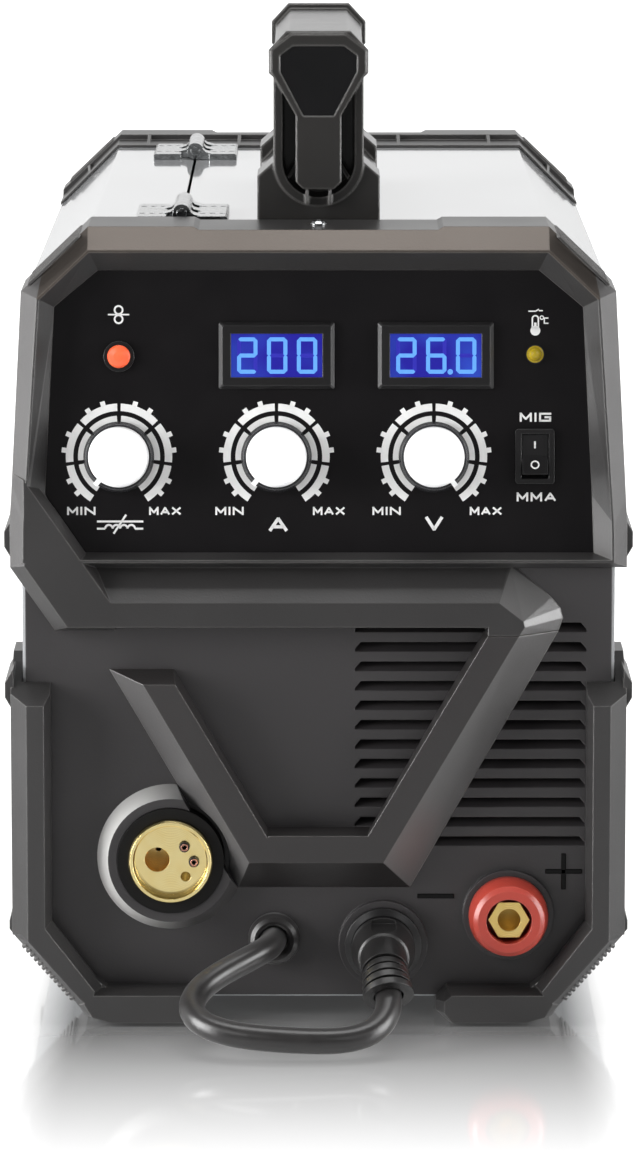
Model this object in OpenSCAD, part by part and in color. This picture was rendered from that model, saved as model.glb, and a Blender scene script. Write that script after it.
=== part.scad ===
// Portable MIG welding machine: a sheet-metal body between moulded ends, with a carrying handle,
// a hinged side door over the wire feeder and the spool hub, and the power electronics behind
// a dividing wall. The front faces -Y, +X is to the right as the front is looked at, and the
// floor is at Z = 0. Depths are measured back from the front faces of the corner guards.

/* [Case] */
// Length over the front and rear corner guards
case_l = 470; // [460:2:490]
// Height of the sheet-metal lid above the floor
lid_z = 318; // [317:0.5:319]
// Bevel along each long edge of the body
body_chamfer = 27; // [26:0.5:28]
// Thickness of the sheet metal
sheet = 1.2; // [1:0.1:1.3]

/* [Front cover] */
// Wall thickness of the moulded covers
wall = 3; // [2.5:0.5:3]
// Number of cooling louvres
louvres = 12; // [8:1:12]
// Distance between two louvres
louvre_pitch = 8; // [7.5:0.1:8]
// Height of each louvre's opening
louvre_h = 4; // [3:0.5:4.5]
// Width of the slanted ribs
rib_w = 26; // [24:1:27]

/* [Control panel] */
// Distance between two control knobs
knob_pitch = 63.3; // [62:0.1:64]
// Radius of a knob's cap
knob_r = 12.2; // [11:0.2:12.4]
// Width of a display's bezel
display_w = 46.6; // [44:0.2:48]
// Height of a display's bezel
display_h = 27; // [25:0.5:28]

/* [Front sockets] */
// Radius of the torch socket's brass body
torch_r = 17; // [16:0.5:17.5]
// Radius of the bore that takes a welding plug
plug_bore_r = 4.6; // [4.5:0.1:4.8]
// Diameter of the polarity cord
cord_dia = 10.5; // [9.5:0.5:10.5]

/* [Handle] */
// Width of the handle's grip
grip_w = 40.7; // [38:0.1:42]
// Height of the grip's top above the floor
grip_z = 397; // [394:1:400]

/* [Inside] */
// Radius of the hub that carries a wire spool
hub_r = 25; // [24:0.5:25.5]
// Diameter of the drive roll
roll_dia = 30; // [29:0.5:30]
// Number of fan blades
fan_blades = 7; // [5:1:9]

/* [Hidden] */
$fn = 48;

front = -case_l / 2;
body_hw = 119.5;
floor_gap = 8;
fit = 0.1;               // gap between two fixed pieces
gap = 0.3;               // gap between pieces that could rub
eps = 0.01;
cover_d = 16;            // how far the lower cover is set back
hood_l = 68;             // the front frame ends here
rear_d = case_l - 58;    // the rear frame begins here
guard_l = 57;
cover_top = 185.5;

// The leaning plane of the control panel's frame.
lean = 7;
ridge_d = 6;
ridge_z = 193;
panel_n = -10;           // the panel's face lies this far behind the frame's ridge

// ---------------------------------------------------------------- outlines

// Moves each edge of a convex outline, given anticlockwise, inwards by t.
function inset(p, t) = [
    for (i = [0:len(p) - 1])
        let (
            a = p[(i + len(p) - 1) % len(p)],
            b = p[i],
            c = p[(i + 1) % len(p)],
            e1 = (b - a) / norm(b - a),
            e2 = (c - b) / norm(c - b),
            n1 = [-e1.y, e1.x],
            n2 = [-e2.y, e2.x]
        )
        b + (n1 + n2) * t / (1 + n1 * n2)
];

function octagon(hw, z0, z1, c0, c1) = [
    [-hw + c0, z0], [hw - c0, z0], [hw, z0 + c0], [hw, z1 - c1],
    [hw - c1, z1], [-hw + c1, z1], [-hw, z1 - c1], [-hw, z0 + c0]
];

body_pts = octagon(body_hw, floor_gap, lid_z, body_chamfer, body_chamfer);
side_foot = floor_gap + body_chamfer;

// Heights on the leaning plane: v along it from ridge_z, for a height z at a distance n in front.
function lean_v(z, n) = (z - ridge_z - n * sin(lean)) / cos(lean);
function leant(p, n) = [for (q = p) [q.x, lean_v(q.y, n)]];

frame_outer = [[124, 186], [124, 204], [119.5, 296], [92.5, 321.8], [-92.5, 321.8],
               [-119.5, 296], [-124, 204], [-124, 186]];
frame_ridge = [[118.6, 189], [118.4, 204], [112.8, 294], [92.4, 313.2], [-92.4, 313.2],
               [-112.8, 294], [-118.4, 204], [-118.6, 189]];
frame_lip = [[117.8, 190], [117.6, 204], [112, 293.6], [92, 312.4], [-92, 312.4],
             [-112, 293.6], [-117.6, 204], [-117.2, 197], [-113, 190]];
panel_hole = [[110.4, 191.8], [109.6, 215], [106, 289.5], [88.5, 304], [-88.5, 304],
              [-106, 289.5], [-109.7, 215.6], [-108.6, 213.4], [-96.5, 191.8]];

// ---------------------------------------------------------------- shared shapes

// Extrudes an outline in XZ from depth d over a length l.
module slab(d, l) {
    translate([0, front + d + l, 0])
        rotate([90, 0, 0])
            linear_extrude(l)
                children();
}

// Extrudes a side profile, given as depth and height, from x0 to x1.
module side_prism(x0, x1) {
    translate([x0, front, 0])
        rotate([90, 0, 90])
            linear_extrude(x1 - x0)
                children();
}

// A bevelled block: the outline base at depth d0 becomes the outline top at depth d1.
module frustum(base, top, d0, d1) {
    hull() {
        slab(d0 - eps, eps) polygon(base);
        slab(d1, eps) polygon(top);
    }
}

// The frame of the leaning plane: x, height along it, and distance in front of the ridge.
module on_lean() {
    translate([0, front + ridge_d, ridge_z])
        rotate([90 - lean, 0, 0])
            children();
}

// The same at a place on the panel's face, given by x and height above the floor.
module on_panel(x, z) {
    on_lean()
        translate([x, lean_v(z, panel_n), panel_n])
            children();
}

module behind_lean(n) {
    on_lean()
        translate([-200, -260, n - 600])
            cube([400, 700, 600]);
}

module rod_y(x, z, r, d, l) {
    translate([x, front + d, z])
        rotate([-90, 0, 0])
            cylinder(h = l, r = r);
}

module cone_y(x, z, r1, r2, d, l) {
    translate([x, front + d, z])
        rotate([-90, 0, 0])
            cylinder(h = l, r1 = r1, r2 = r2);
}

module rod_x(x, d, z, r, l) {
    translate([x, front + d, z])
        rotate([0, 90, 0])
            cylinder(h = l, r = r);
}

module block(x0, x1, d0, d1, z0, z1) {
    translate([x0, front + d0, z0])
        cube([x1 - x0, d1 - d0, z1 - z0]);
}

module both_sides() {
    children();
    mirror([1, 0, 0]) children();
}

module at_rear() {
    mirror([0, 1, 0]) children();
}

// A rectangular plate with bevelled corners, w wide and h high, of thickness t.
module bevelled(w, h, c, t) {
    linear_extrude(t)
        polygon([
            [-w / 2 + c, -h / 2], [w / 2 - c, -h / 2], [w / 2, -h / 2 + c], [w / 2, h / 2 - c],
            [w / 2 - c, h / 2], [-w / 2 + c, h / 2], [-w / 2, h / 2 - c], [-w / 2, -h / 2 + c]
        ]);
}

// ---------------------------------------------------------------- sheet metal

door_x = -56;            // seam between the fixed lid and the door
door_gap = 0.6;
door_d0 = hood_l + 1.5;
door_d1 = rear_d - 1.5;
tray_d0 = 19.6;
tray_d1 = case_l - tray_d0;
latch_d = 240;
latch_z = 58;

module sheet_shell(inner, t) {
    slab(tray_d0, tray_d1 - tray_d0)
        difference() {
            polygon(inset(body_pts, inner));
            polygon(inset(body_pts, inner + t));
        }
}

// The bottom tray: floor, bevels, an upstand inside the covers, and the bands beside the door.
module base_pan() color("gainsboro") {
    intersection() {
        sheet_shell(0, sheet);
        block(-200, 200, 0, case_l, 0, side_foot - 0.4);
    }
    intersection() {
        sheet_shell(sheet - eps, gap + 2 * eps);
        block(-200, 200, 42, case_l - 42, side_foot - 9, side_foot - 1.4);
    }
    intersection() {
        sheet_shell(sheet + gap, sheet);
        block(-200, 200, 42, case_l - 42, side_foot - 9, side_foot + 9);
    }
}

// The wall between the wire side and the electronics, with foot and head flanges.
part_x = -21;

module partition() color("silver")
    difference() {
        union() {
            block(part_x, part_x + 1.5, 42, case_l - 42, floor_gap + sheet + fit, lid_z - sheet - fit);
            block(part_x, part_x + 16, 42, case_l - 42, floor_gap + sheet + fit, floor_gap + sheet + 1.6);
            block(part_x, part_x + 16, 42, case_l - 42, lid_z - sheet - 1.6, lid_z - sheet - fit);
        }
        rod_x(part_x - 5, motor_d, motor_z, motor_r + 1, 20);
        rod_x(part_x - 5, spindle_d, spindle_z, 5 + fit, 20);
        // a slot for the control leads
        block(part_x - 5, part_x + 5, 70, 110, 250, 265);
    }

// Lid and right-hand side in one folded sheet, with a band before and behind the door.
module fixed_cover() color("whitesmoke")
    difference() {
        intersection() {
            sheet_shell(0, sheet);
            union() {
                block(door_x + door_gap, 200, 0, case_l, side_foot, 400);
                block(-200, 0, 0, door_d0 - 0.8, side_foot, 400);
                block(-200, 0, door_d1 + 0.8, case_l, side_foot, 400);
            }
            behind_lean(panel_n - gap);
        }
        // air slots low down in the side
        for (i = [0:7])
            block(110, 130, 330, 390, 60 + i * 10, 64 + i * 10);
    }

// Side door with its strip of the lid, stiffened by folds along the front and rear edges.
module door_panel() color("whitesmoke")
    difference() {
        intersection() {
            union() {
                sheet_shell(0, sheet);
                for (d = [door_d0 + 4, door_d1 - 16])
                    slab(d, 12)
                        difference() {
                            polygon(inset(body_pts, sheet - eps));
                            polygon(inset(body_pts, sheet + 3));
                        }
            }
            block(-200, door_x - door_gap, door_d0, door_d1, side_foot, 400);
        }
        // the folds stop short of the tray's upstand
        block(-body_hw + sheet, 0, door_d0 - 1, door_d1 + 1, side_foot - 1, side_foot + 16);
        rod_x(-body_hw - 5, latch_d, latch_z, 6, 20);
    }

// Quarter-turn latch: a slotted head outside, a neck through the door and a cam behind it.
module door_latch() color("dimgray")
    difference() {
        union() {
            rod_x(-body_hw - 4, latch_d, latch_z, 10, 4 - fit);
            rod_x(-body_hw - 2, latch_d, latch_z, 5.94, 8);
            block(-body_hw + 4, -body_hw + 7, latch_d - 5, latch_d + 20, latch_z - 5, latch_z + 5);
        }
        block(-body_hw - 5, -body_hw - 2.4, latch_d - 7, latch_d + 7, latch_z - 1, latch_z + 1);
    }

// ---------------------------------------------------------------- door hinges

hinge_z = lid_z + 4.1;
hinge_l = 50;
hinge_ds = [78, 351];
barrel_r = 3.7;
leaf_t = 2.9;
knuckle_n = 5;
knuckle_l = hinge_l / knuckle_n;
pin_r = 2;

// One knuckle: a barrel with a foot that joins its leaf.
module knuckle(d, side) {
    difference() {
        union() {
            rod_y(door_x, hinge_z, barrel_r, d + gap / 2, knuckle_l - gap);
            slab(d + gap / 2, knuckle_l - gap)
                polygon([
                    [door_x, hinge_z - 3.4], [door_x + side * 8, lid_z + fit],
                    [door_x + side * 8, lid_z + leaf_t], [door_x + side * 4.6, lid_z + leaf_t + 0.9],
                    [door_x + side * 2, hinge_z + 2.2], [door_x, hinge_z + 2.2]
                ]);
        }
        rod_y(door_x, hinge_z, pin_r + 0.06, d - 1, knuckle_l + 2);
    }
}

// One leaf, with two rows of small fixing holes.
module leaf(d, side) {
    x0 = door_x + side * 6.4;
    x1 = door_x + side * 18.8;
    hole_r = 1.2;
    difference() {
        slab(d, hinge_l)
            polygon([[x0, lid_z + fit], [x1, lid_z + fit], [x1, lid_z + leaf_t - 0.7],
                     [x1 - side, lid_z + leaf_t], [x0, lid_z + leaf_t]]);
        for (row = [12, 40])
            for (x = [8.4, 12.4, 16.4])
                translate([door_x + side * x, front + d + row, lid_z + 1])
                    cylinder(h = leaf_t, r = hole_r, $fn = 16);
    }
}

module hinge_leaves_fixed() color("silver")
    for (d = hinge_ds) {
        leaf(d, 1);
        for (k = [0, 2, 4])
            knuckle(d + k * knuckle_l, 1);
    }

module hinge_leaves_door() color("silver")
    for (d = hinge_ds) {
        leaf(d, -1);
        for (k = [1, 3])
            knuckle(d + k * knuckle_l, -1);
    }

module hinge_pins() color("gray")
    for (d = hinge_ds)
        rod_y(door_x, hinge_z, pin_r, d - 0.5, hinge_l + 1);

// ---------------------------------------------------------------- front mouldings

torch_x = -59.8;
torch_z = 66.7;
plus_x = 77;
plus_z = 43;
minus_x = 26.2;
minus_z = 31;
cord_x = -18;
cord_z = 33;
rail_z0 = 54;            // foot of the brace
rail_z1 = 78;            // top of its cross rail
brace_d = 2;             // depth of its faces

cover_pts = octagon(body_hw - sheet - fit, floor_gap + sheet + fit, 400, body_chamfer, 10);

// Outline of the brace's left rib where it stands on the cover.
left_rib = [[-84.5, 144], [-32.5, rail_z0], [-32.5 + rib_w, rail_z0], [-84.5 + rib_w, 144]];

// Louvre slots through the cover and the block behind it; they climb inwards, so that nothing
// shows through, and their upper corners are cut off.
louvre_z = 71;
louvre_x1 = 108.1;
louvre_rise = 31;        // degrees

module louvre_slot(x0, z) {
    back = cover_d + 11;
    h = louvre_h * cos(louvre_rise);
    cut = 2.4;
    translate([0, front + back, z + (back - cover_d) * tan(louvre_rise)])
        rotate([90 + louvre_rise, 0, 0])
            linear_extrude(17)
                polygon([[x0, 0], [louvre_x1, 0], [louvre_x1, h - cut], [louvre_x1 - cut, h],
                         [x0 + cut, h], [x0, h - cut]]);
}

module front_cover() color("dimgray")
    difference() {
        union() {
            slab(cover_d, wall)
                intersection() {
                    polygon(cover_pts);
                    translate([-200, 0]) square([400, cover_top]);
                }
            // rim inside the sheet metal
            slab(cover_d, 22)
                intersection() {
                    difference() {
                        polygon(cover_pts);
                        polygon(inset(cover_pts, 2));
                    }
                    translate([-200, 0]) square([400, cover_top]);
                }
            // the block that the louvres run through
            slab(cover_d + wall - eps, 6)
                polygon([[12, 66], [113, 66], [113, 172], [12, 172]]);
            // ring round the torch socket, its right side cut away for the brace
            difference() {
                cone_y(torch_x, torch_z, 25.4, 30, 8, 8 + eps);
                slab(0, cover_d)
                    polygon(inset(left_rib, -gap));
            }
            // raised collars for the two welding sockets
            rod_y(plus_x, plus_z, 18.5, 13, 3 + eps);
            rod_y(minus_x, minus_z, 18, 12, 4 + eps);
        }
        rod_y(torch_x, torch_z, 21.6 + fit, 0, 40);
        rod_y(plus_x, plus_z, 12 + fit, 0, 40);
        rod_y(minus_x, minus_z, 12 + fit, 0, 40);
        rod_y(cord_x, cord_z, 8.4 + fit, 0, 40);
        for (i = [0:louvres - 1])
            louvre_slot(i < 1 ? 40 : 14.7, louvre_z + i * louvre_pitch);
    }

// Carries the bevel between two outlines on to k times its depth.
function drawn_out(inner, outer, k) = [for (i = [0:len(inner) - 1]) inner[i] + k * (outer[i] - inner[i])];

// The bevelled frame round the control panel, the hood behind it, and the apron below.
module front_frame() color("dimgray") {
    bevel_n = 8;
    reach = 9;
    difference() {
        union() {
            difference() {
                intersection() {
                    slab(0, hood_l) polygon(frame_outer);
                    on_lean()
                        hull() {
                            translate([0, 0, -reach * bevel_n])
                                linear_extrude(eps)
                                    polygon(drawn_out(leant(frame_ridge, 0),
                                                      leant(frame_outer, -bevel_n), reach));
                            translate([0, 0, -eps])
                                linear_extrude(eps)
                                    polygon(leant(frame_ridge, 0));
                        }
                }
                on_lean()
                    hull() {
                        translate([0, 0, panel_n - 0.2])
                            linear_extrude(eps) polygon(leant(panel_hole, -9));
                        translate([0, 0, 0.2])
                            linear_extrude(eps) polygon(leant(frame_lip, 0));
                    }
            }
            both_sides()
                side_bump(16, hood_l, 197);
            apron();
            slanted_limb();
        }
        // the hood's hollow, which takes the body and the panel
        intersection() {
            slab(-20, 120)
                intersection() {
                    polygon(inset(body_pts, -gap));
                    translate([-200, cover_top + gap]) square([400, 400]);
                }
            behind_lean(panel_n + fit);
        }
        // the step in the top of the hood, with angled notches at its ends
        slab(20, 60)
            polygon([[-51, 330], [-51, 322.2], [-48, 320.6], [48, 320.6], [51, 322.2], [51, 330]]);
    }
}

// A moulding on the cover: the outline base on the cover becomes the outline top in the leaning
// plane of the frame's ridge.
module on_cover(base, top) {
    hull() {
        slab(cover_d - fit - eps, eps)
            polygon(base);
        on_lean()
            translate([0, 0, -eps])
                linear_extrude(eps)
                    polygon(leant(top, 0));
    }
}

// Apron: a shelf that slopes forward to a narrow rail; its right end turns down to the brace.
module apron() {
    on_cover([[-104, 160.8], [80, 160.8], [76, 188], [-99, 188]],
             [[-100.7, 163.3], [80, 163.3], [72.5, 173], [-84, 173]]);
    on_cover([[67, 160], [97, 160], [98.6, 165], [97.6, 169], [94, 173.4], [77, 188], [67, 188]],
             [[68, 160], [80.6, 160], [82.7, 163.3], [82.2, 165.6], [72.5, 173], [68, 173]]);
}

// The frame's lower left corner runs on aslant into the apron's rail.
module slanted_limb()
    intersection() {
        slab(-5, cover_d - fit + 5)
            translate([-130, 150]) square([60, 80]);
        on_lean()
            hull() {
                translate([0, 0, -16])
                    linear_extrude(8)
                        polygon(leant([[-124, 224], [-124, 186], [-106, 160.8], [-82, 160.8],
                                       [-81.5, 174], [-116, 224]], -8));
                translate([0, 0, -eps])
                    linear_extrude(eps)
                        polygon(leant([[-118.3, 222], [-118, 187.7], [-100.7, 163.3],
                                       [-84, 163.3], [-83, 172.5]], 0));
            }
    }

// A small side bump, d0 to d1, centred at height z.
module side_bump(d0, d1, z) {
    slab(d0, d1 - d0)
        polygon([[123, z + 9], [126.5, z + 3], [126.5, z - 3], [123, z - 9]]);
}

// Two slanted ribs that lean towards each other on a cross rail, with broad bevels outside.
module front_brace() color("dimgray")
    difference() {
        union() {
            frustum(left_rib, [[-70.5, 140], [-28, 67], [-14.5, 67], [-57.5, 140]],
                    cover_d - fit, brace_d);
            frustum([[37.2, rail_z0], [97, 160], [67, 160], [7, rail_z0]],
                    [[26.2, 67], [80.6, 160], [68, 160], [13.5, 67]],
                    cover_d - fit, brace_d);
            frustum([[-32.5, rail_z0], [37.2, rail_z0], [30, rail_z1 + 1], [-24, rail_z1 + 1]],
                    [[-28, 67], [26.2, 67], [26, rail_z1], [-20, rail_z1]],
                    cover_d - fit, brace_d);
        }
        // room for the torch socket
        rod_y(torch_x, torch_z, 24, 0, 40);
        // clear of the apron
        block(-130, 130, 0, 30, 159.7, 200);
    }

// Right-hand half of a pair of corner guards: an upright bar, a slanted bar and a foot.
module guard_half() {
    difference() {
        union() {
            // behind the front bevel the outline runs straight back
            intersection() {
                slab(8, guard_l - 8)
                    polygon([[124, 46], [125.2, 42], [125.2, 38.5], [122.5, 35], [97.8, 7], [94.5, 2.6],
                             [85, 0], [53, 0], [47.5, 5], [47.5, 9], [52, 14.2], [86, 14.2],
                             [90.7, 17.6], [108.1, 40.3], [108.1, 150], [124, 150]]);
                side_prism(40, 130)
                    polygon([[0, -1], [guard_l, -1], [guard_l, 148], [36, 148], [0, 131.6]]);
            }
            intersection() {
                frustum([[108.1, 36], [124, 36], [124, 150], [108.1, 150]],
                        [[110.4, 38], [117.4, 38], [117.4, 150], [110.4, 150]], 8 + eps, 0);
                side_prism(40, 130)
                    polygon([[0, -1], [guard_l, -1], [guard_l, 148], [36, 148], [0, 131.6]]);
            }
            frustum([[124, 40], [108.1, 42], [88, 15], [93, 3.5], [97.8, 7], [122.5, 35]],
                    [[117.4, 40], [110.4, 40], [90.4, 14], [93, 8], [97, 11.5], [117.4, 35]], 8 + eps, 0);
            frustum([[47.5, 5], [53, 0], [85, 0], [94.5, 2.6], [97.8, 7], [92, 14.2], [52, 14.2],
                     [47.5, 9]],
                    [[51, 5.2], [54.2, 1.2], [84, 1.2], [91.5, 3.4], [95, 9], [91, 12.4], [54, 12.4],
                     [51, 10]], 8 + eps, 0);
            side_bump(12, guard_l, 136);
            guard_grips();
        }
        slab(cover_d - gap, guard_l)
            polygon(inset(body_pts, -gap));
    }
}

// Grip ribs across the slanted corner, from the front bevel backwards.
corner_deg = 48.6;
grip_pitch = 2.4;
module guard_grips() {
    for (i = [0:12]) {
        along = 4.2 + i * grip_pitch;
        translate([97 + along * cos(corner_deg), front, 6 + along * sin(corner_deg)])
            rotate([0, -corner_deg, 0])
                rotate([90, 0, 90])
                    linear_extrude(grip_pitch / 2)
                        polygon([[4.5, 1.5], [8.5, -1], [guard_l - 1, -1], [guard_l - 1, 1.5]]);
    }
}

module front_guards() color("dimgray")
    both_sides() guard_half();

module rear_guards() color("dimgray")
    at_rear() both_sides() guard_half();

// ---------------------------------------------------------------- rear mouldings

fan_x = 46;
fan_z = 112;
fan_r = 52;
switch_x = -66;
switch_z = 250;
gland_x = -66;
gland_z = 120;
inlet_x = -84;
inlet_z = 60;

module rear_cover() color("dimgray")
    difference() {
        union() {
            slab(case_l - cover_d - wall, wall)
                intersection() {
                    polygon(inset(body_pts, sheet + fit));
                    translate([-200, 0]) square([400, 312]);
                }
            slab(case_l - cover_d - 22, 22)
                intersection() {
                    difference() {
                        polygon(inset(body_pts, sheet + fit));
                        polygon(inset(body_pts, sheet + fit + 2));
                    }
                    translate([-200, 0]) square([400, cover_top]);
                }
        }
        // fan grille: slots across the opening, split by a bar down the middle
        for (i = [-6:6])
            for (s = [-1, 1]) {
                half = sqrt(pow(fan_r + 1, 2) - pow(i * 8, 2));
                translate([fan_x + s * (3 + (half - 3) / 2), front + case_l - cover_d - 2, fan_z + i * 8])
                    cube([half - 3, 20, 5], center = true);
            }
        // louvres of the upper half
        for (i = [0:5])
            block(-4, 96, case_l - 30, case_l, 216 + i * 10, 220 + i * 10);
        translate([switch_x, front + case_l - cover_d - 2, switch_z])
            cube([22.7, 20, 30.7], center = true);
        rod_y(gland_x, gland_z, 8 + fit, case_l - 40, 60);
        rod_y(inlet_x, inlet_z, 5 + fit, case_l - 40, 60);
    }

// The rear frame: a leaning rim round the rear cover, thinned towards the sheet metal by an open
// recess along its front edge, which small gussets brace.
module rear_frame() color("dimgray") {
    recess_d = rear_d + 26;
    skin = 1.3;
    gusset = 1.4;
    difference() {
        union() {
            slab(recess_d, case_l - 8 - recess_d)
                polygon(frame_outer);
            frustum(frame_ridge, frame_outer, case_l, case_l - 8 - eps);
            both_sides()
                side_bump(recess_d, case_l - 10, 197);
            intersection() {
                slab(rear_d, 26 + eps)
                    polygon(frame_outer);
                union() {
                    slab(rear_d, 30)
                        polygon(inset(body_pts, -skin));
                    intersection() {
                        frustum(inset(body_pts, -skin), frame_outer, rear_d + 2, recess_d + 1);
                        gusset_planes(gusset);
                    }
                }
            }
        }
        slab(rear_d - 10, case_l - cover_d + gap - rear_d + 10)
            intersection() {
                polygon(inset(body_pts, -gap));
                translate([-200, 100]) square([400, 400]);
            }
        frustum(frame_lip, panel_hole, case_l + eps, case_l - cover_d - 1);
        // the step in the top
        slab(recess_d + 8, 60)
            polygon([[-51, 330], [-51, 322.2], [-48, 320.6], [48, 320.6], [51, 322.2], [51, 330]]);
    }
}

// Thin upright and level planes in which the gussets lie.
module gusset_planes(t) {
    for (x = [-79, -37, 37, 79])
        block(x - t / 2, x + t / 2, rear_d, rear_d + 30, 300, 330);
    both_sides()
        translate([106, 0, 306])
            rotate([0, 45, 0])
                translate([-t / 2, front + rear_d, -20])
                    cube([t, 30, 40]);
    for (z = [212, 246, 280])
        block(-130, 130, rear_d, rear_d + 30, z - t / 2, z + t / 2);
}

// ---------------------------------------------------------------- control panel

knob_xs = [-80.2, -80.2 + knob_pitch, -80.2 + 2 * knob_pitch];
knob_z = 229.8;
display_xs = [-16.8, 47.1];
display_z = 270.2;
button_x = -80.2;
button_z = 269.8;
lamp_x = 87;
lamp_z = 270.7;
rocker_x = 87;
rocker_z = 230;
pointer_deg = [230, 230, 307];   // where the white pointers stand, from +X

module control_panel() color("black")
    difference() {
        on_lean()
            translate([0, 0, panel_n - wall])
                linear_extrude(wall)
                    polygon(inset(leant(panel_hole, -9), -3));
        for (x = knob_xs)
            on_panel(x, knob_z) translate([0, 0, -10]) cylinder(h = 20, r = 3.6);
        for (x = display_xs)
            on_panel(x, display_z)
                translate([-20, -10.4, -10]) cube([40, 20.8, 20]);
        on_panel(button_x, button_z) translate([0, 0, -10]) cylinder(h = 20, r = 5.4 + fit);
        on_panel(lamp_x, lamp_z) translate([0, 0, -10]) cylinder(h = 20, r = 3 + fit);
        on_panel(rocker_x, rocker_z) translate([-6.6, -9.8, -10]) cube([13.2, 19.6, 20]);
    }

module display_bezels() color("black")
    for (x = display_xs)
        on_panel(x, display_z)
            difference() {
                union() {
                    translate([0, 0, fit])
                        hull() {
                            bevelled(display_w, display_h, 0.6, 0.8);
                            bevelled(display_w - 3, display_h - 3, 0.6, 2.4);
                        }
                    translate([-19.8, -10.2, -9]) cube([39.6, 20.4, 9.2]);
                }
                translate([-18.4, -8.8, -7]) cube([36.8, 17.6, 20]);
            }

module display_lenses() color("mediumblue")
    for (x = display_xs)
        on_panel(x, display_z)
            translate([-18.3, -8.7, -6.9]) cube([36.6, 17.4, 8.2]);

// Snap-in collar that guides the push button.
module button_collar() color("black")
    on_panel(button_x, button_z)
        difference() {
            union() {
                translate([0, 0, fit]) cylinder(h = 1.6, r = 6.2);
                translate([0, 0, -9]) cylinder(h = 9.2, r = 5.4);
            }
            translate([0, 0, -7]) cylinder(h = 20, r = 4.65);
        }

module inch_button() color("orangered")
    on_panel(button_x, button_z)
        rotate_extrude()
            polygon([[0, -3], [4.6, -3], [4.6, 2.6], [4, 3.4], [2, 3.9], [0, 4]]);

module overheat_lamp() color("gold")
    on_panel(lamp_x, lamp_z)
        rotate_extrude()
            polygon([[0, -6], [3, -6], [3, fit], [3.7, fit], [3.7, 1], [2.6, 1.2], [2.4, 2], [1.6, 3],
                     [0, 3.4]]);

// Frame of a rocker switch, w by h over its flange, in the plane of its panel.
module rocker_frame(w, h) {
    difference() {
        union() {
            translate([0, 0, fit]) bevelled(w, h, 0.8, 1.6);
            translate([-w / 2 + 1.3, -h / 2 + 1.3, -14]) cube([w - 2.6, h - 2.6, 14.2]);
        }
        translate([-w / 2 + 2.4, -h / 2 + 2, -9]) cube([w - 4.8, h - 4, 20]);
    }
    // trunnions that carry the rocker
    for (s = [-1, 1])
        translate([s * (w / 2 - 2.4) - 0.7, 0, -2])
            rotate([0, 90, 0])
                cylinder(h = 1.4, r = 1.2);
}

// The rocker: two faces that meet at a shallow angle over the pivot, at rest with one end down.
module rocker_tilted(w, h) {
    hw = w / 2 - 2.7;
    hh = h / 2 - 2.9;
    translate([0, 0, -2])
        rotate([-rocker_tilt, 0, 0])
            difference() {
                translate([-hw, 0, 0])
                    rotate([90, 0, 90])
                        linear_extrude(2 * hw)
                            polygon([[-hh, -1], [-2.5, -3], [2.5, -3], [hh, -1], [hh, 4.4], [0, 2.9],
                                     [-hh, 4.4]]);
                for (s = [-1, 1])
                    translate([s * hw, 0, 0])
                        rotate([0, 90, 0])
                            cylinder(h = 1.6, r = 1.26, center = true);
            }
}
rocker_tilt = 10;

module mode_switch_frame() color("black")
    on_panel(rocker_x, rocker_z) rocker_frame(15.7, 22);

module mode_rocker() color("black")
    on_panel(rocker_x, rocker_z) rocker_tilted(15.7, 22);

module on_rear(x, z) {
    translate([x, front + case_l - cover_d, z])
        rotate([90, 0, 180])
            children();
}

module power_switch_frame() color("black")
    on_rear(switch_x, switch_z) rocker_frame(25, 33);

module power_rocker() color("firebrick")
    on_rear(switch_x, switch_z) rocker_tilted(25, 33);

// Three rotary controls behind the panel, each with a bore for its knob's shaft.
module potentiometers() color("silver")
    for (x = knob_xs)
        on_panel(x, knob_z)
            translate([0, 0, -wall - fit])
                difference() {
                    union() {
                        translate([0, 0, -6]) cylinder(h = 6, r = 5);
                        translate([0, 0, -15]) cylinder(h = 9.1, r = 9);
                        translate([-8, -13, -13]) cube([16, 9, 1.6]);
                    }
                    translate([0, 0, -14]) cylinder(h = 20, r = 3.05);
                }

module knob_skirt(i) {
    on_panel(knob_xs[i], knob_z)
        difference() {
            union() {
                rotate_extrude()
                    polygon([[0, 0.6], [14.2, 0.6], [14.2, 4], [13.2, 6], [0, 6]]);
                translate([0, 0, -15]) cylinder(h = 16, r = 3);
            }
            translate([0, 0, 5]) cylinder(h = 2, r = 10);
            // a groove for the pointer
            rotate(pointer_deg[i])
                translate([9, -1.1, 5]) cube([6, 2.2, 3]);
        }
}

module knob_top(i) {
    on_panel(knob_xs[i], knob_z) {
        rotate_extrude()
            polygon([[0, 5], [9.95, 5], [9.95, 6.05], [knob_r, 6.05], [knob_r - 0.5, 17.4],
                     [knob_r - 1.5, 18.8], [0, 19]]);
        rotate(pointer_deg[i])
            translate([9, -1, 5.05]) cube([5.6, 2, 1.6]);
    }
}

module knob_1() color("darkslategray") knob_skirt(0);
module knob_1_cap() color("white") knob_top(0);
module knob_2() color("darkslategray") knob_skirt(1);
module knob_2_cap() color("white") knob_top(1);
module knob_3() color("darkslategray") knob_skirt(2);
module knob_3_cap() color("white") knob_top(2);

// ---------------------------------------------------------------- front sockets

pin_bore_r = 5;
pin_bore_x = torch_x - 5.5;

module torch_insulator() color("black")
    difference() {
        union() {
            rod_y(torch_x, torch_z, 21.6, 7, 30);
            rod_y(torch_x, torch_z, 24, cover_d + wall + fit, 8);
        }
        rod_y(torch_x, torch_z, torch_r + fit, 0, 60);
    }

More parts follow.
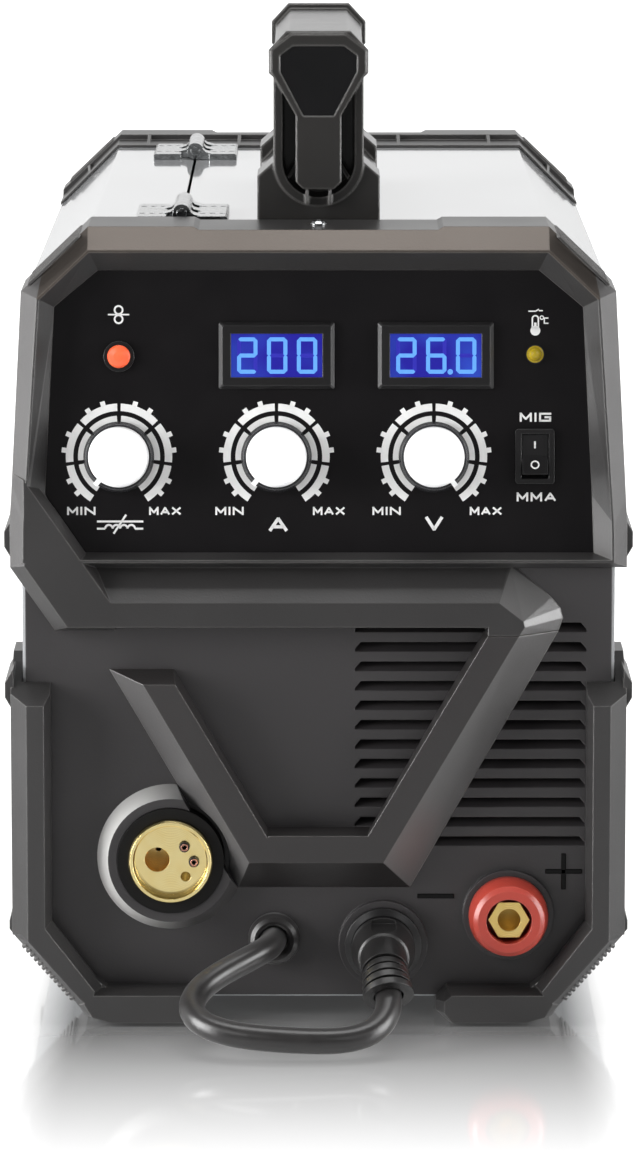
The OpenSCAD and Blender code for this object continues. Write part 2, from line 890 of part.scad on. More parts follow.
// Brass body of the torch socket: an outer ring, a recessed face, the stepped bore for the wire
// pin and three sockets.
module torch_socket() color("goldenrod")
    difference() {
        translate([torch_x, front, torch_z])
            rotate([-90, 0, 0])
                rotate_extrude()
                    polygon([[0, 10], [14.6, 10], [14.6, 5.4], [15.2, 4], [16.4, 4], [torch_r, 5],
                             [torch_r, 44], [0, 44]]);
        rod_y(pin_bore_x, torch_z, pin_bore_r, 0, 32);
        rod_y(pin_bore_x, torch_z, 1.2, 31, 20);
        rod_y(torch_x + 5.6, torch_z + 5.4, 2.1, 0, 26);
        rod_y(torch_x + 9.4, torch_z - 0.8, 2.1, 0, 26);
        rod_y(torch_x + 6, torch_z - 7, 2, 0, 26);
    }

// Insulated pilot contacts in the torch socket.
module torch_contacts() color("black")
    for (p = [[5.6, 5.4], [9.4, -0.8]])
        translate([torch_x + p.x, front + 8, torch_z + p.y])
            rotate([-90, 0, 0])
                difference() {
                    cylinder(h = 14, r = 2.06);
                    translate([0, 0, -1]) cylinder(h = 8, r = 1);
                }

module hexagon(af) {
    circle(r = af / sqrt(3), $fn = 6);
}

// Insulating ring of a welding socket, a taper outside and a hexagon inside.
module plus_ring() color("firebrick")
    difference() {
        union() {
            translate([plus_x, front, plus_z])
                rotate([-90, 0, 0])
                    rotate_extrude()
                        polygon([[9.2, 0], [12.6, 0], [14.4, 1.4], [16.1, 9], [16.1, 12.9], [9.2, 12.9]]);
            rod_y(plus_x, plus_z, 12, 12.8, 14);
        }
        slab(-1, 60) translate([plus_x, plus_z]) hexagon(14.7);
    }

module minus_ring() color("black")
    difference() {
        union() {
            translate([minus_x, front, minus_z])
                rotate([-90, 0, 0])
                    rotate_extrude()
                        polygon([[11.2, 8], [13, 8], [15.5, 9], [15.5, 11.9], [11.2, 11.9]]);
            rod_y(minus_x, minus_z, 12, 11.8, 15);
        }
        slab(-1, 60) translate([minus_x, minus_z]) hexagon(14.7);
        rod_y(minus_x, minus_z, 11.4, -5, 24);
    }

// Brass hexagons with the plug bores and the studs behind them.
module socket_contacts() color("goldenrod") {
    difference() {
        union() {
            slab(4, 30) translate([plus_x, plus_z]) hexagon(14.5);
            rod_y(plus_x, plus_z, 4, 33, 14);
        }
        rod_y(plus_x, plus_z, plug_bore_r, 0, 26);
    }
    difference() {
        union() {
            slab(19.2, 14.8) translate([minus_x, minus_z]) hexagon(14.5);
            rod_y(minus_x, minus_z, 4, 33, 14);
        }
        rod_y(minus_x, minus_z, plug_bore_r, 0, 30);
    }
}

module cord_grommet() color("black")
    translate([cord_x, front, cord_z])
        rotate([-90, 0, 0])
            rotate_extrude()
                polygon([[cord_dia / 2 + 0.5, 12], [6.9, 10], [8, 9.4], [9.6, 10.4], [10.6, 13],
                         [10.6, 15.9], [8.4, 15.9], [8.4, 19.1], [9.6, 19.1], [9.6, 21.5],
                         [cord_dia / 2 + 0.5, 21.5]]);

// The cord's route, as x, depth and z: out of the grommet, round a loop, up into the boot.
route = [
    [-18, 26, 33], [-18, 15, 33], [-18.5, 4, 33], [-23, -7, 32], [-34, -16, 28.5], [-46, -26, 23.5],
    [-52, -39, 18], [-48, -52, 13.5], [-34, -60, 10.5], [-17, -62, 9.5], [0, -62, 8.6],
    [13.5, -59.5, 8.6], [22.5, -54.5, 11], [27, -48, 15], [28.3, -41, 19.2], [27.5, -35.2, 23.7]
];
cord_sides = 12;
steps = 4;

// Points of a smooth curve through the route's corners.
function spline_at(p, i, t) =
    let (a = p[max(i - 1, 0)], b = p[i], c = p[i + 1], e = p[min(i + 2, len(p) - 1)],
         a1 = i == 0 ? 2 * b - c : a, e1 = i == len(p) - 2 ? 2 * c - b : e)
    (pow(1 - t, 3) * a1 + (3 * pow(t, 3) - 6 * t * t + 4) * b
     + (-3 * pow(t, 3) + 3 * t * t + 3 * t + 1) * c + pow(t, 3) * e1) / 6;
path = [for (i = [0:len(route) - 2], k = [0:steps - 1]) spline_at(route, i, k / steps),
        spline_at(route, len(route) - 2, 1)];

// A round tube swept along points, its rings turned by a fixed side direction.
function unit(v) = v / norm(v);
function tangent(p, i) = unit(p[min(i + 1, len(p) - 1)] - p[max(i - 1, 0)]);
function frames(p, i, n, out) =
    i == len(p) ? out
    : let (t = tangent(p, i), m = unit(n - (n * t) * t)) frames(p, i + 1, m, concat(out, [m]));
function rings(p, r, sides) =
    let (side = frames(p, 0, [0, 0, 1], []))
    [for (i = [0:len(p) - 1], k = [0:sides - 1])
        let (t = tangent(p, i), m = side[i], b = cross(t, m), a = 360 * k / sides)
        p[i] + r * (cos(a) * m + sin(a) * b)];

module tube(p, r, sides) {
    n = len(p);
    polyhedron(
        points = rings(p, r, sides),
        faces = concat(
            [[for (k = [0:sides - 1]) k]],
            [for (i = [0:n - 2], k = [0:sides - 1])
                let (a = i * sides + k, b = i * sides + (k + 1) % sides) [a, a + sides, b + sides, b]],
            [[for (k = [0:sides - 1]) n * sides - 1 - k]]));
}

module polarity_cord() color("black")
    translate([0, front, 0])
        tube(path, cord_dia / 2, cord_sides);

// Cable plug: brass pin, gripping body, and a ribbed boot that droops over the cord.
boot_r = 34;
boot_deg = 45;

module polarity_plug() color("black") {
    rod_y(minus_x, minus_z, plug_bore_r - 0.08, 8, 18);
    difference() {
        translate([minus_x, front, minus_z])
            rotate([-90, 0, 0])
                rotate_extrude()
                    polygon([[0, -14], [9.6, -14], [10.4, -13.2], [12.8, 0], [12.8, 5.6], [10.9, 7.2],
                             [10.9, 12], [10.3, 18.8], [0, 18.8]]);
        // the flat the size is marked on
        block(minus_x - 5, minus_x + 5, -12, 4, minus_z + 10.4, minus_z + 15);
    }
    boot();
}

// The boot bends down in one plane, turned a little to the right.
module boot() {
    translate([minus_x, front - 14 + eps, minus_z])
        rotate([0, -10, 0])
            translate([0, 0, -boot_r])
                rotate([90, 0, 90])
                    difference() {
                        union() {
                            boot_bend(boot_deg) boot_section(7.8);
                            boot_bend(boot_deg / 2) boot_section(9.4);
                            for (k = [0:3])
                                rotate(25 + k * 5.4)
                                    boot_bend(3.7) boot_section(9.3 + k * 0.3);
                        }
                        rotate(38.5) boot_bend(10) boot_section(cord_dia / 2 + 0.8);
                    }
}

module boot_bend(deg) {
    rotate(90)
        rotate_extrude(angle = deg)
            children();
}

module boot_section(r) {
    translate([boot_r, 0]) circle(r = r);
}

// ---------------------------------------------------------------- handle

post_hw = 18.4;
hoop_z = lid_z + 26;     // centre of the hoop's round foot
hoop_wall = 3.7;
tongue_hw = 9.3;

// A hoop-shaped front post with an open channel, a grip with a tongue that hangs before the
// channel, a rear post, and a foot rail on the lid.
module handle() color("dimgray") {
    difference() {
        union() {
            slab(74, 164)
                polygon([[-24.5, lid_z + fit], [24.5, lid_z + fit], [24.5, 331], [18, 338],
                         [-18, 338], [-24.5, 331]]);
            for (ends = [[74, 30], [204, 34]])
                slab(ends[0], ends[1])
                    polygon([[-25, lid_z + fit], [25, lid_z + fit], [25, lid_z + 19.6],
                             [post_hw, lid_z + 25.5], [-post_hw, lid_z + 25.5],
                             [-25, lid_z + 19.6]]);
            side_prism(-post_hw, post_hw)
                polygon([[74, 340], [104, 340], [104, 366], [112, 374], [112, 380], [74, 380]]);
            rod_y(0, hoop_z, post_hw, 72, 8);
            slab(72, 8)
                translate([-post_hw, hoop_z])
                    square([2 * post_hw, grip_z - 17 - hoop_z]);
            side_prism(-post_hw, post_hw)
                polygon([[204, 336], [238, 336], [240, 380], [196, 380], [196, 374], [204, 366]]);
            grip();
        }
        // the channel
        rod_y(0, hoop_z, post_hw - hoop_wall, 60, 36);
        slab(60, 36)
            translate([hoop_wall - post_hw, hoop_z])
                square([2 * (post_hw - hoop_wall), grip_z - 23 - hoop_z]);
    }
    // crossed ribs in the channel
    for (lean_deg = [-32, 32])
        intersection() {
            slab(84, 13)
                translate([-post_hw + 1, hoop_z - 12])
                    square([2 * post_hw - 2, 46]);
            translate([0, front, hoop_z + 12])
                rotate([0, lean_deg, 0])
                    translate([-0.8, 84, -40])
                        cube([1.6, 13, 80]);
        }
    tongue();
}

// The grip, thinner between a collar at each end.
module grip() {
    for (part = [[72, 6, 0], [77, 156, 2.2], [232, 8, 0]])
        slab(part[0], part[1])
            polygon(inset([[13, 373 - part[2]], [grip_w / 2, 380], [grip_w / 2, grip_z - 8],
                           [13, grip_z], [-13, grip_z], [-grip_w / 2, grip_z - 8],
                           [-grip_w / 2, 380], [-13, 373 - part[2]]], part[2]));
}

// The cap over the grip's front end, drawn down into a tongue that two struts tie to the hoop.
module tongue()
    difference() {
        union() {
            slab(68, 4 + eps)
                polygon([[tongue_hw, 363], [19.5, 380.7], [19.5, 389.5], [11, 396], [-11, 396],
                         [-19.5, 389.5], [-19.5, 380.7], [-tongue_hw, 363], [-tongue_hw, 336],
                         [3 - tongue_hw, 333], [tongue_hw - 3, 333], [tongue_hw, 336]]);
            both_sides()
                block(4, 5.4, 69, 73, hoop_z - post_hw + 1, 334);
        }
        slab(60, 9.2)
            polygon(badge_pts(0.1));
    }

function badge_pts(t) = inset([[-6, 363], [6, 363], [15.4, 380.8], [15.4, 387.2], [10.4, 391],
                               [-10.4, 391], [-15.4, 387.2], [-15.4, 380.8]], -t);

module handle_badge() color("black")
    slab(68, 1.1)
        polygon(badge_pts(0));

// ---------------------------------------------------------------- screws

module pan_screw(r) {
    difference() {
        rotate_extrude()
            polygon([[0, 0], [r, 0], [r, 0.6], [r * 0.75, 1.5], [0, 1.9]]);
        translate([0, 0, 0.9]) cylinder(h = 2, r = r * 0.36, $fn = 6);
    }
}

module case_screws() color("silver") {
    for (d = [48, case_l - 16])
        translate([0, front + d, 320.6 + fit]) pan_screw(3.4);
    // along the right side and its foot
    for (d = [110, case_l - 110])
        translate([body_hw + fit, front + d, 44])
            rotate([0, 90, 0])
                pan_screw(3.6);
    for (x = [-98, 98])
        for (z = [30, 170])
            translate([abs(z - 30) < 1 ? x * 0.85 : x, front + case_l - cover_d + fit, z])
                rotate([-90, 0, 0])
                    pan_screw(3.4);
}

// ---------------------------------------------------------------- wire feeder

wire_z = torch_z;
wire_x = pin_bore_x;
motor_d = 118;
motor_r = 27;
roll_r = roll_dia / 2;
motor_z = wire_z - roll_r + 0.6;
arm_d = 84;              // pressure arm's pivot
arm_z = wire_z + 20;
press_r = 11;
press_z = wire_z + press_r + 0.9;
plate_x = -40;

// Insulating plate with the wire guides, the arm's pivot and the spacers to the partition.
module feeder_plate() color("darkslategray")
    difference() {
        union() {
            block(plate_x, plate_x + 5, 64, 176, 26, 128);
            for (p = [[72, 34], [168, 34], [72, 120], [168, 120]])
                rod_x(plate_x + 5 - eps, p.x, p.y, 4, part_x - plate_x - 5);
            rod_x(-60, arm_d, arm_z, 3, plate_x + 60 + eps);
            // outlet and inlet guides carry the wire through
            block(wire_x - 6, plate_x + eps, 66, 98, wire_z - 8, wire_z + 8);
            block(wire_x - 6, plate_x + eps, 142, 158, wire_z - 8, wire_z + 8);
            rod_y(wire_x, wire_z, 4, 44.2, 24);
            rod_y(wire_x, wire_z, 3, 156, 22);
        }
        rod_y(wire_x, wire_z, 1, 40, 150);
        // clear of both rolls
        rod_x(-90, motor_d, motor_z, roll_r + 2, 49);
        rod_x(plate_x - 1, motor_d, motor_z, 9, 10);
    }

module feed_motor() color("gray") {
    rod_x(plate_x + 5 + gap, motor_d, motor_z, motor_r, 46);
    rod_x(10, motor_d, motor_z, 24, 30);
    rod_x(39, motor_d, motor_z, 7, 6);
    rod_x(wire_x - 8, motor_d, motor_z, 4, 42);
    rod_x(plate_x - 0.7, motor_d, motor_z, 8, 8);
}

// Grooved drive roll.
module drive_roll() color("lightgray")
    translate([wire_x, front + motor_d, motor_z])
        rotate([0, 90, 0])
            difference() {
                rotate_extrude()
                    polygon([[4.05, -6], [10, -6], [10, -5], [roll_r, -5], [roll_r, -1.2],
                             [roll_r - 0.9, 0], [roll_r, 1.2], [roll_r, 5], [10, 5], [10, 8],
                             [4.05, 8]]);
                for (a = [0:60:300])
                    rotate(a) translate([8, 0, 5]) cylinder(h = 5, r = 1.2);
            }

// Arm that presses the idle roll on the wire; it lifts about a pivot at the front.
module pressure_arm() color("dimgray")
    difference() {
        union() {
            translate([-57, front, 0])
                rotate([90, 0, 90])
                    linear_extrude(8)
                        polygon([[arm_d - 7, arm_z - 6], [arm_d + 6, arm_z - 7],
                                 [motor_d + 10, press_z - 6], [motor_d + 44, press_z + 4],
                                 [motor_d + 44, press_z + 16], [motor_d + 12, press_z + 12],
                                 [arm_d - 4, arm_z + 8], [arm_d - 9, arm_z + 4]]);
            rod_x(wire_x - 5, motor_d, press_z, 3, 14.3);
            // seat for the tension knob
            rod_z(-53, motor_d + 34, press_z + 15, 8, 4);
            rod_z(-53, motor_d + 34, press_z + 18, 3, 24);
        }
        rod_x(-70, arm_d, arm_z, 3.05, 30);
    }

module rod_z(x, d, z, r, l) {
    translate([x, front + d, z])
        cylinder(h = l, r = r);
}

module pressure_roll() color("lightgray")
    translate([wire_x, front + motor_d, press_z])
        rotate([0, 90, 0])
            rotate_extrude()
                polygon([[3.05, -4.5], [5, -4.5], [5, -4], [press_r, -4], [press_r, 4], [5, 4], [5, 4.5],
                         [3.05, 4.5]]);

module tension_knob() color("firebrick")
    translate([-53, front + motor_d + 34, press_z + 19 + gap])
        difference() {
            union() {
                cylinder(h = 18, r = 8);
                cylinder(h = 4, r = 9.6);
                for (a = [0:45:315])
                    rotate(a) translate([8, 0, 3]) cylinder(h = 14, r = 1.2);
            }
            translate([0, 0, -1]) cylinder(h = 30, r = 3.05);
        }

// ---------------------------------------------------------------- spool hub

spindle_d = 322;
spindle_z = 182;
hub_x0 = -84;

module spool_spindle() color("gray") {
    rod_x(hub_x0 - 8, spindle_d, spindle_z, 5, part_x + 14 - hub_x0 + 8);
    rod_x(part_x - 6.1, spindle_d, spindle_z, 16, 6);
    rod_x(part_x + 1.6, spindle_d, spindle_z, 9, 6);
    rod_x(hub_x0 - 8, spindle_d, spindle_z, 8, 7.4);
}

// Hub that a wire spool slides on, with a flange behind and a key for the spool's drive hole.
module spool_hub() color("dimgray")
    translate([hub_x0, front + spindle_d, spindle_z])
        rotate([0, 90, 0])
            difference() {
                rotate_extrude()
                    polygon([[5.06, 0], [hub_r - 1, 0], [hub_r, 1], [hub_r, 50], [33, 50],
                             [33, 56], [5.06, 56]]);
                for (a = [0:60:300])
                    rotate(a) translate([14, 0, -1]) cylinder(h = 40, r = 4.5);
            }

// ---------------------------------------------------------------- power electronics

module gas_valve() color("goldenrod") {
    block(-34, part_x - fit, 404, 430, 46, 77);
    rod_x(-38, 417, 84, 9, 16.8);
    rod_y(-30, 60, 4, 380, 60);
}

module transformer() color("saddlebrown") {
    block(0, 86, 176, 186, 12, 90);
    block(0, 86, 236, 246, 12, 90);
    block(0, 14, 185, 237, 12, 90);
    block(72, 86, 185, 237, 12, 90);
    rod_z(43, 211, 12, 26, 72);
    block(-3, 89, 172, 250, floor_gap + sheet + fit, 12.1);
}

// Two finned blocks facing each other.
module heat_sinks() color("silver")
    for (x = [10, 66]) {
        block(x, x + 34, 280, 390, 150, 158);
        for (i = [0:8])
            block(x + i * 4, x + i * 4 + 1.6, 280, 390, 157.9, 196);
        // pillars down to the floor
        for (d = [284, 380])
            block(x + 14, x + 20, d, d + 6, floor_gap + sheet + fit, 150.1);
    }

module main_board() color("darkgreen") {
    block(4, 108, 60, 160, 118, 120);
    for (p = [[24, 84], [60, 84], [24, 130], [60, 130]])
        rod_z(p.x, p.y, 119.9, 14, 42);
    block(80, 104, 70, 100, 119.9, 138);
    block(82, 102, 110, 150, 119.9, 134);
    for (p = [[8, 64], [88, 64], [8, 156], [88, 156]])
        rod_z(p.x, p.y, floor_gap + sheet + fit, 2.5, 119 - floor_gap - sheet);
}

fan_d0 = 424;

module fan_frame() color("black") {
    difference() {
        translate([fan_x, front + fan_d0 + 12.5, fan_z])
            cube([112, 25, 112], center = true);
        rod_y(fan_x, fan_z, fan_r, fan_d0 - 1, 40);
        for (s = [-1, 1], t = [-1, 1])
            rod_y(fan_x + s * 50, fan_z + t * 50, 2.2, fan_d0 - 1, 40);
    }
    // four arms and the motor's seat with the rotor's spindle
    for (a = [45:90:315])
        translate([fan_x, front + fan_d0 + 23, fan_z])
            rotate([0, a, 0])
                translate([16, -1.5, -1.5])
                    cube([fan_r - 15, 3, 3]);
    rod_y(fan_x, fan_z, 18, fan_d0 + 21, 4);
    rod_y(fan_x, fan_z, 3, fan_d0 + 3, 19);
}

module fan_rotor() color("black")
    translate([fan_x, front + fan_d0 + 2, fan_z])
        rotate([-90, 0, 0])
            difference() {
                union() {
                    cylinder(h = 18, r = 19);
                    for (i = [0:fan_blades - 1])
                        rotate(i * 360 / fan_blades)
                            translate([18, 0, 9])
                                rotate([38, 0, 0])
                                    translate([0, -10, -1])
                                        cube([fan_r - 20, 20, 2]);
                }
                translate([0, 0, -1]) cylinder(h = 30, r = 3.05);
            }

module mains_gland() color("black")
    translate([gland_x, front + case_l - cover_d, gland_z])
        rotate([-90, 0, 0])
            difference() {
                union() {
                    translate([0, 0, fit]) cylinder(h = 5, r = 11 / cos(30), $fn = 6);
                    translate([0, 0, 5]) cylinder(h = 3, r = 10.4);
                    translate([0, 0, 7.9]) cylinder(h = 4, r1 = 10.4, r2 = 7);
                    translate([0, 0, -14]) cylinder(h = 14.2, r = 8);
                    translate([0, 0, -8]) cylinder(h = 4.9, r = 11 / cos(30), $fn = 6);
                }
                translate([0, 0, -15]) cylinder(h = 40, r = 5);
            }

// Hose tail for the shielding gas.
module gas_inlet() color("goldenrod")
    translate([inlet_x, front + case_l - cover_d, inlet_z])
        rotate([-90, 0, 0])
            difference() {
                union() {
                    translate([0, 0, fit]) cylinder(h = 4, r = 8 / cos(30), $fn = 6);
                    translate([0, 0, -16]) cylinder(h = 16.2, r = 5);
                    translate([0, 0, 4]) cylinder(h = 10.9, r = 4);
                    translate([0, 0, -7]) cylinder(h = 3.9, r = 8 / cos(30), $fn = 6);
                }
                translate([0, 0, -17]) cylinder(h = 40, r = 2);
            }

// ---------------------------------------------------------------- one line for each node

base_pan();
partition();
fixed_cover();
front_cover();
front_frame();
front_brace();
front_guards();
rear_cover();
rear_frame();
rear_guards();
control_panel();
display_bezels();
display_lenses();
button_collar();
overheat_lamp();
mode_switch_frame();
potentiometers();
torch_insulator();
torch_socket();
torch_contacts();
plus_ring();
minus_ring();
socket_contacts();
cord_grommet();
polarity_cord();
polarity_plug();
handle();
handle_badge();
case_screws();
hinge_leaves_fixed();
hinge_pins();
feeder_plate();
feed_motor();
spool_spindle();
gas_valve();
transformer();
heat_sinks();
main_board();
fan_frame();
power_switch_frame();
mains_gland();
gas_inlet();
door_panel();
hinge_leaves_door();
door_latch();
knob_1();
knob_1_cap();
knob_2();
knob_2_cap();
knob_3();
knob_3_cap();
inch_button();
mode_rocker();
power_rocker();
spool_hub();
drive_roll();
pressure_arm();
pressure_roll();
tension_knob();
fan_rotor();
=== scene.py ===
from math import atan2, cos, degrees, hypot, pi, radians, sin

import bpy
from mathutils import Matrix, Vector


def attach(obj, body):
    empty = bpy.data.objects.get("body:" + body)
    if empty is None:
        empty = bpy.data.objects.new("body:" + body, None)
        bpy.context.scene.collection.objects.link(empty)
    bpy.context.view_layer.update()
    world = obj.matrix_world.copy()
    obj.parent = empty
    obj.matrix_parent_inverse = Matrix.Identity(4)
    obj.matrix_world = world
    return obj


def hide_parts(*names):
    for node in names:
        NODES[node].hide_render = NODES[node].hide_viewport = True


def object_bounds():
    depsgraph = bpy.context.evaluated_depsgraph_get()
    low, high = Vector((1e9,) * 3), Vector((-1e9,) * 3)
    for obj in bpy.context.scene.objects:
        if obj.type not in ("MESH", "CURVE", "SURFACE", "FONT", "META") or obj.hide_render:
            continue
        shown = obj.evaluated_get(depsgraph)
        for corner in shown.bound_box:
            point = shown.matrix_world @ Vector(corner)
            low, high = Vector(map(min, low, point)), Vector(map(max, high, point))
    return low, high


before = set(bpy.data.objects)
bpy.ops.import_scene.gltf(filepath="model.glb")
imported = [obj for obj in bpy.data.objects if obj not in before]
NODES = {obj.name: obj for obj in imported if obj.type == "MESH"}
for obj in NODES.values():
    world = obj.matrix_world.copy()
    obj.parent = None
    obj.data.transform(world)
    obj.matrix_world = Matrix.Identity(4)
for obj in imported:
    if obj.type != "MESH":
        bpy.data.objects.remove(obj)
cad_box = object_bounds()
LENGTH = 0.470                  # from the front corner guards' faces to the rear ones'
FRONT = cad_box[1][1] - LENGTH  # the guards' front faces; depths are counted back from here

# ---------------------------------------------------------------- camera
# A long lens looks at the machine's front from 2.4 m away, from a little above the handle. It
# leans down, and stands level sideways.
EYE = (0.0006, -2.635, 0.5788)
LOOKING_DOWN = 9.36
camera_data = bpy.data.cameras.new("camera")
camera_data.lens = 188.9
camera_data.sensor_width = 36
camera_data.clip_end = 20
camera = bpy.data.objects.new("camera", camera_data)
camera.location = EYE
camera.rotation_euler = (radians(90 - LOOKING_DOWN), 0, 0)
bpy.context.scene.collection.objects.link(camera)
bpy.context.scene.camera = camera


# ---------------------------------------------------------------- sheet metal
# Lid, side and door are 1.2 mm steel, punched, folded and powder coated white; the tray and
# the dividing wall stay bare zinc-plated steel.
def linear(hex_colour):
    """A hex colour as linear red, green, blue and alpha."""
    parts = [int(hex_colour[i : i + 2], 16) / 255 for i in (0, 2, 4)]
    return (*(c / 12.92 if c <= 0.04045 else ((c + 0.055) / 1.055) ** 2.4 for c in parts), 1)


def add_node(tree, kind, links=(), **settings):
    """Adds a node; settings name its properties or inputs, links are (input, output socket)."""
    node = tree.nodes.new(kind)
    for name, value in settings.items():
        if name in node.bl_rna.properties:
            setattr(node, name, value)
        else:
            node.inputs[name.replace("_", " ")].default_value = value
    for name, output in links:
        tree.links.new(node.inputs[name], output)
    return node


def new_material(name, **shader):
    """A material with its Principled shader set; returns it with its tree and shader."""
    mat = bpy.data.materials.new(name)
    mat.use_nodes = True
    tree = mat.node_tree
    bsdf = tree.nodes["Principled BSDF"]
    for key, value in shader.items():
        bsdf.inputs[key.replace("_", " ")].default_value = value
    return mat, tree, bsdf


def noise(tree, size_mm, detail=2.0, stretch=(1, 1, 1)):
    """Noise on Object coordinates whose spots are about size_mm apart, stretched along an axis."""
    coords = add_node(tree, "ShaderNodeTexCoord")
    turned = add_node(tree, "ShaderNodeMapping", [("Vector", coords.outputs["Object"])], Scale=stretch)
    field = add_node(tree, "ShaderNodeTexNoise", [("Vector", turned.outputs["Vector"])],
                     Scale=1000 / size_mm, Detail=detail, Roughness=0.55)
    return field.outputs["Fac"]


def blend_colours(tree, factor, first, second):
    """Mixes two colours, each a hex string or a socket, by a factor socket."""
    mix = add_node(tree, "ShaderNodeMix", [("Factor", factor)], data_type="RGBA")
    for name, colour in (("A", first), ("B", second)):
        if isinstance(colour, str):
            mix.inputs[name].default_value = linear(colour)
        else:
            tree.links.new(mix.inputs[name], colour)
    return mix.outputs["Result"]


def rescale(tree, value, low, high, from_low=0.0, from_high=1.0):
    """Maps a socket's range from_low to from_high on to low to high."""
    node = add_node(tree, "ShaderNodeMapRange", [("Value", value)], From_Min=from_low,
                    From_Max=from_high, To_Min=low, To_Max=high)
    return node.outputs["Result"]


def two_tone(tree, bsdf, pattern, colours, roughness=None, rough_pattern=None):
    """Runs the colour between two shades along a pattern socket, and the roughness if it is given."""
    tree.links.new(bsdf.inputs["Base Color"], blend_colours(tree, pattern, *colours))
    if roughness:
        tree.links.new(bsdf.inputs["Roughness"], rescale(tree, rough_pattern or pattern, *roughness))


def bump(tree, bsdf, height, depth_mm, edge_mm=0.0):
    """Bumps depth_mm deep from a height socket, over edges rounded by edge_mm for the light."""
    node = add_node(tree, "ShaderNodeBump", [("Height", height)], Distance=depth_mm / 1000)
    if edge_mm:
        rounded = add_node(tree, "ShaderNodeBevel", samples=4, Radius=edge_mm / 1000)
        tree.links.new(node.inputs["Normal"], rounded.outputs["Normal"])
    tree.links.new(bsdf.inputs["Normal"], node.outputs["Normal"])


def edge_mask(tree, edge_mm, gain):
    """1 on sharp edges and 0 on flat faces: how far a rounded normal leans from the true one."""
    rounded = add_node(tree, "ShaderNodeBevel", samples=4, Radius=edge_mm / 1000)
    true = add_node(tree, "ShaderNodeNewGeometry")
    agree = add_node(tree, "ShaderNodeVectorMath", operation="DOT_PRODUCT")
    tree.links.new(agree.inputs[0], rounded.outputs["Normal"])
    tree.links.new(agree.inputs[1], true.outputs["Normal"])
    return rescale(tree, agree.outputs["Value"], 0, 1, 1.0, 1.0 - 1.0 / gain)


def dress(material, *names):
    """Gives CAD pieces a material."""
    for name in names:
        NODES[name].data.materials.clear()
        NODES[name].data.materials.append(material)


# Powder coat: a hard glossy skin with orange peel, a little thinner and greyer on edges.
powder_white, tree, bsdf = new_material("powder coat", IOR=1.5, Coat_Weight=0.4, Coat_Roughness=0.03)
patches = noise(tree, 60)
skin = blend_colours(tree, patches, "bfc0c2", "b7b9bb")
two_tone(tree, bsdf, edge_mask(tree, 0.5, 3), (skin, "a2a4a7"), (0.05, 0.1), patches)
bump(tree, bsdf, noise(tree, 3.2), 0.004, 0.5)
dress(powder_white, "fixed_cover", "door_panel")

# Zinc plate: dull grey metal whose crystals show as soft patches, with rolling lines.
zinc_sheet, tree, bsdf = new_material("zinc sheet", Metallic=1.0)
two_tone(tree, bsdf, noise(tree, 9, 3), ("a9adb0", "cfd2d4"), (0.34, 0.5))
bump(tree, bsdf, noise(tree, 1.2, 2, (1, 0.05, 1)), 0.02, 0.4)
dress(zinc_sheet, "base_pan", "partition")


# ---------------------------------------------------------------- covers, frames and guards
# Front and rear ends are injection moulded: covers in ABS, frames, brace and guards in a
# tougher black nylon. Tools spark-eroded a fine grain into them; edges turn paler, partly from wear and
# partly as painted highlight.
def moulded(name, colour, worn_and_lit, roughness, grain_mm=0.9, depth_mm=0.05, edge_mm=0.7, shine="ffffff"):
    """A grained plastic: two shades of one colour, edges lighter from wear and painted highlight, bumps of
    the grain.
    """
    mat, tree, bsdf = new_material(name, IOR=1.5, Specular_Tint=linear(shine))
    clouds = noise(tree, 45, 3)
    # Edges blend towards the pale colour: wear, and a painted highlight along them.
    worn_and_lit_edge = rescale(tree, edge_mask(tree, edge_mm, 4), 0, 0.6)
    shade = add_node(tree, "ShaderNodeHueSaturation", [("Value", rescale(tree, clouds, 0.86, 1.14))],
                     Color=linear(colour))
    two_tone(tree, bsdf, worn_and_lit_edge, (shade.outputs["Color"], worn_and_lit),
             (roughness - 0.05, roughness + 0.05), clouds)
    bump(tree, bsdf, noise(tree, grain_mm, 1), depth_mm, edge_mm)
    return mat


# The covers are duller than the frames; the pale nylon on bevels and the warmer, paler one on the hood's top
# are painted highlight.
cover_abs = moulded("grained ABS", "2c2a2b", "504d4e", 0.44)
frame_nylon = moulded("grained nylon", "2c2b2b", "7a7876", 0.33)
hood_highlight_nylon = moulded("hood nylon with painted highlight", "35312e", "8a827b", 0.33, shine="fff0e4")
# The brace's nylon is a darker copy of the frames': painted shade on its front faces.
shaded_brace_nylon = moulded("brace nylon with painted shade", "272525", "6c6967", 0.36)
highlight_nylon = moulded("nylon with painted highlight", "4e4d4d", "8c8a88", 0.3, 1.2)
dress(cover_abs, "front_cover", "rear_cover")
dress(frame_nylon, "front_frame", "front_guards", "rear_frame", "rear_guards")
dress(shaded_brace_nylon, "front_brace")


def second_material(name, material, chosen):
    """Gives a material to the faces of a CAD piece for which chosen(place, normal) is true.

    The place is the face's centre in mm, as x, depth and height."""
    mesh = NODES[name].data
    mesh.materials.append(material)
    for face in mesh.polygons:
        if chosen(face.center * 1000 - Vector((0, FRONT * 1000, 0)), face.normal):
            face.material_index = len(mesh.materials) - 1


# Places on the covers and frames, in mm.
TORCH = (-59.8, 66.7)       # the torch socket's axis, as x and height
COLLAR = (24.5, 31)         # the raised ring round it, as inner and outer radius
COVER_FACE = 16             # depth of the front cover's face
APRON_END = (70, 176)       # the apron's right end lies beyond this x and under this height
HOOD = (60, 280)            # the hood's top bevels lie before this depth and over this height
SIDES = (112, 187)          # the frames' side bevels lie beyond this x and over this height
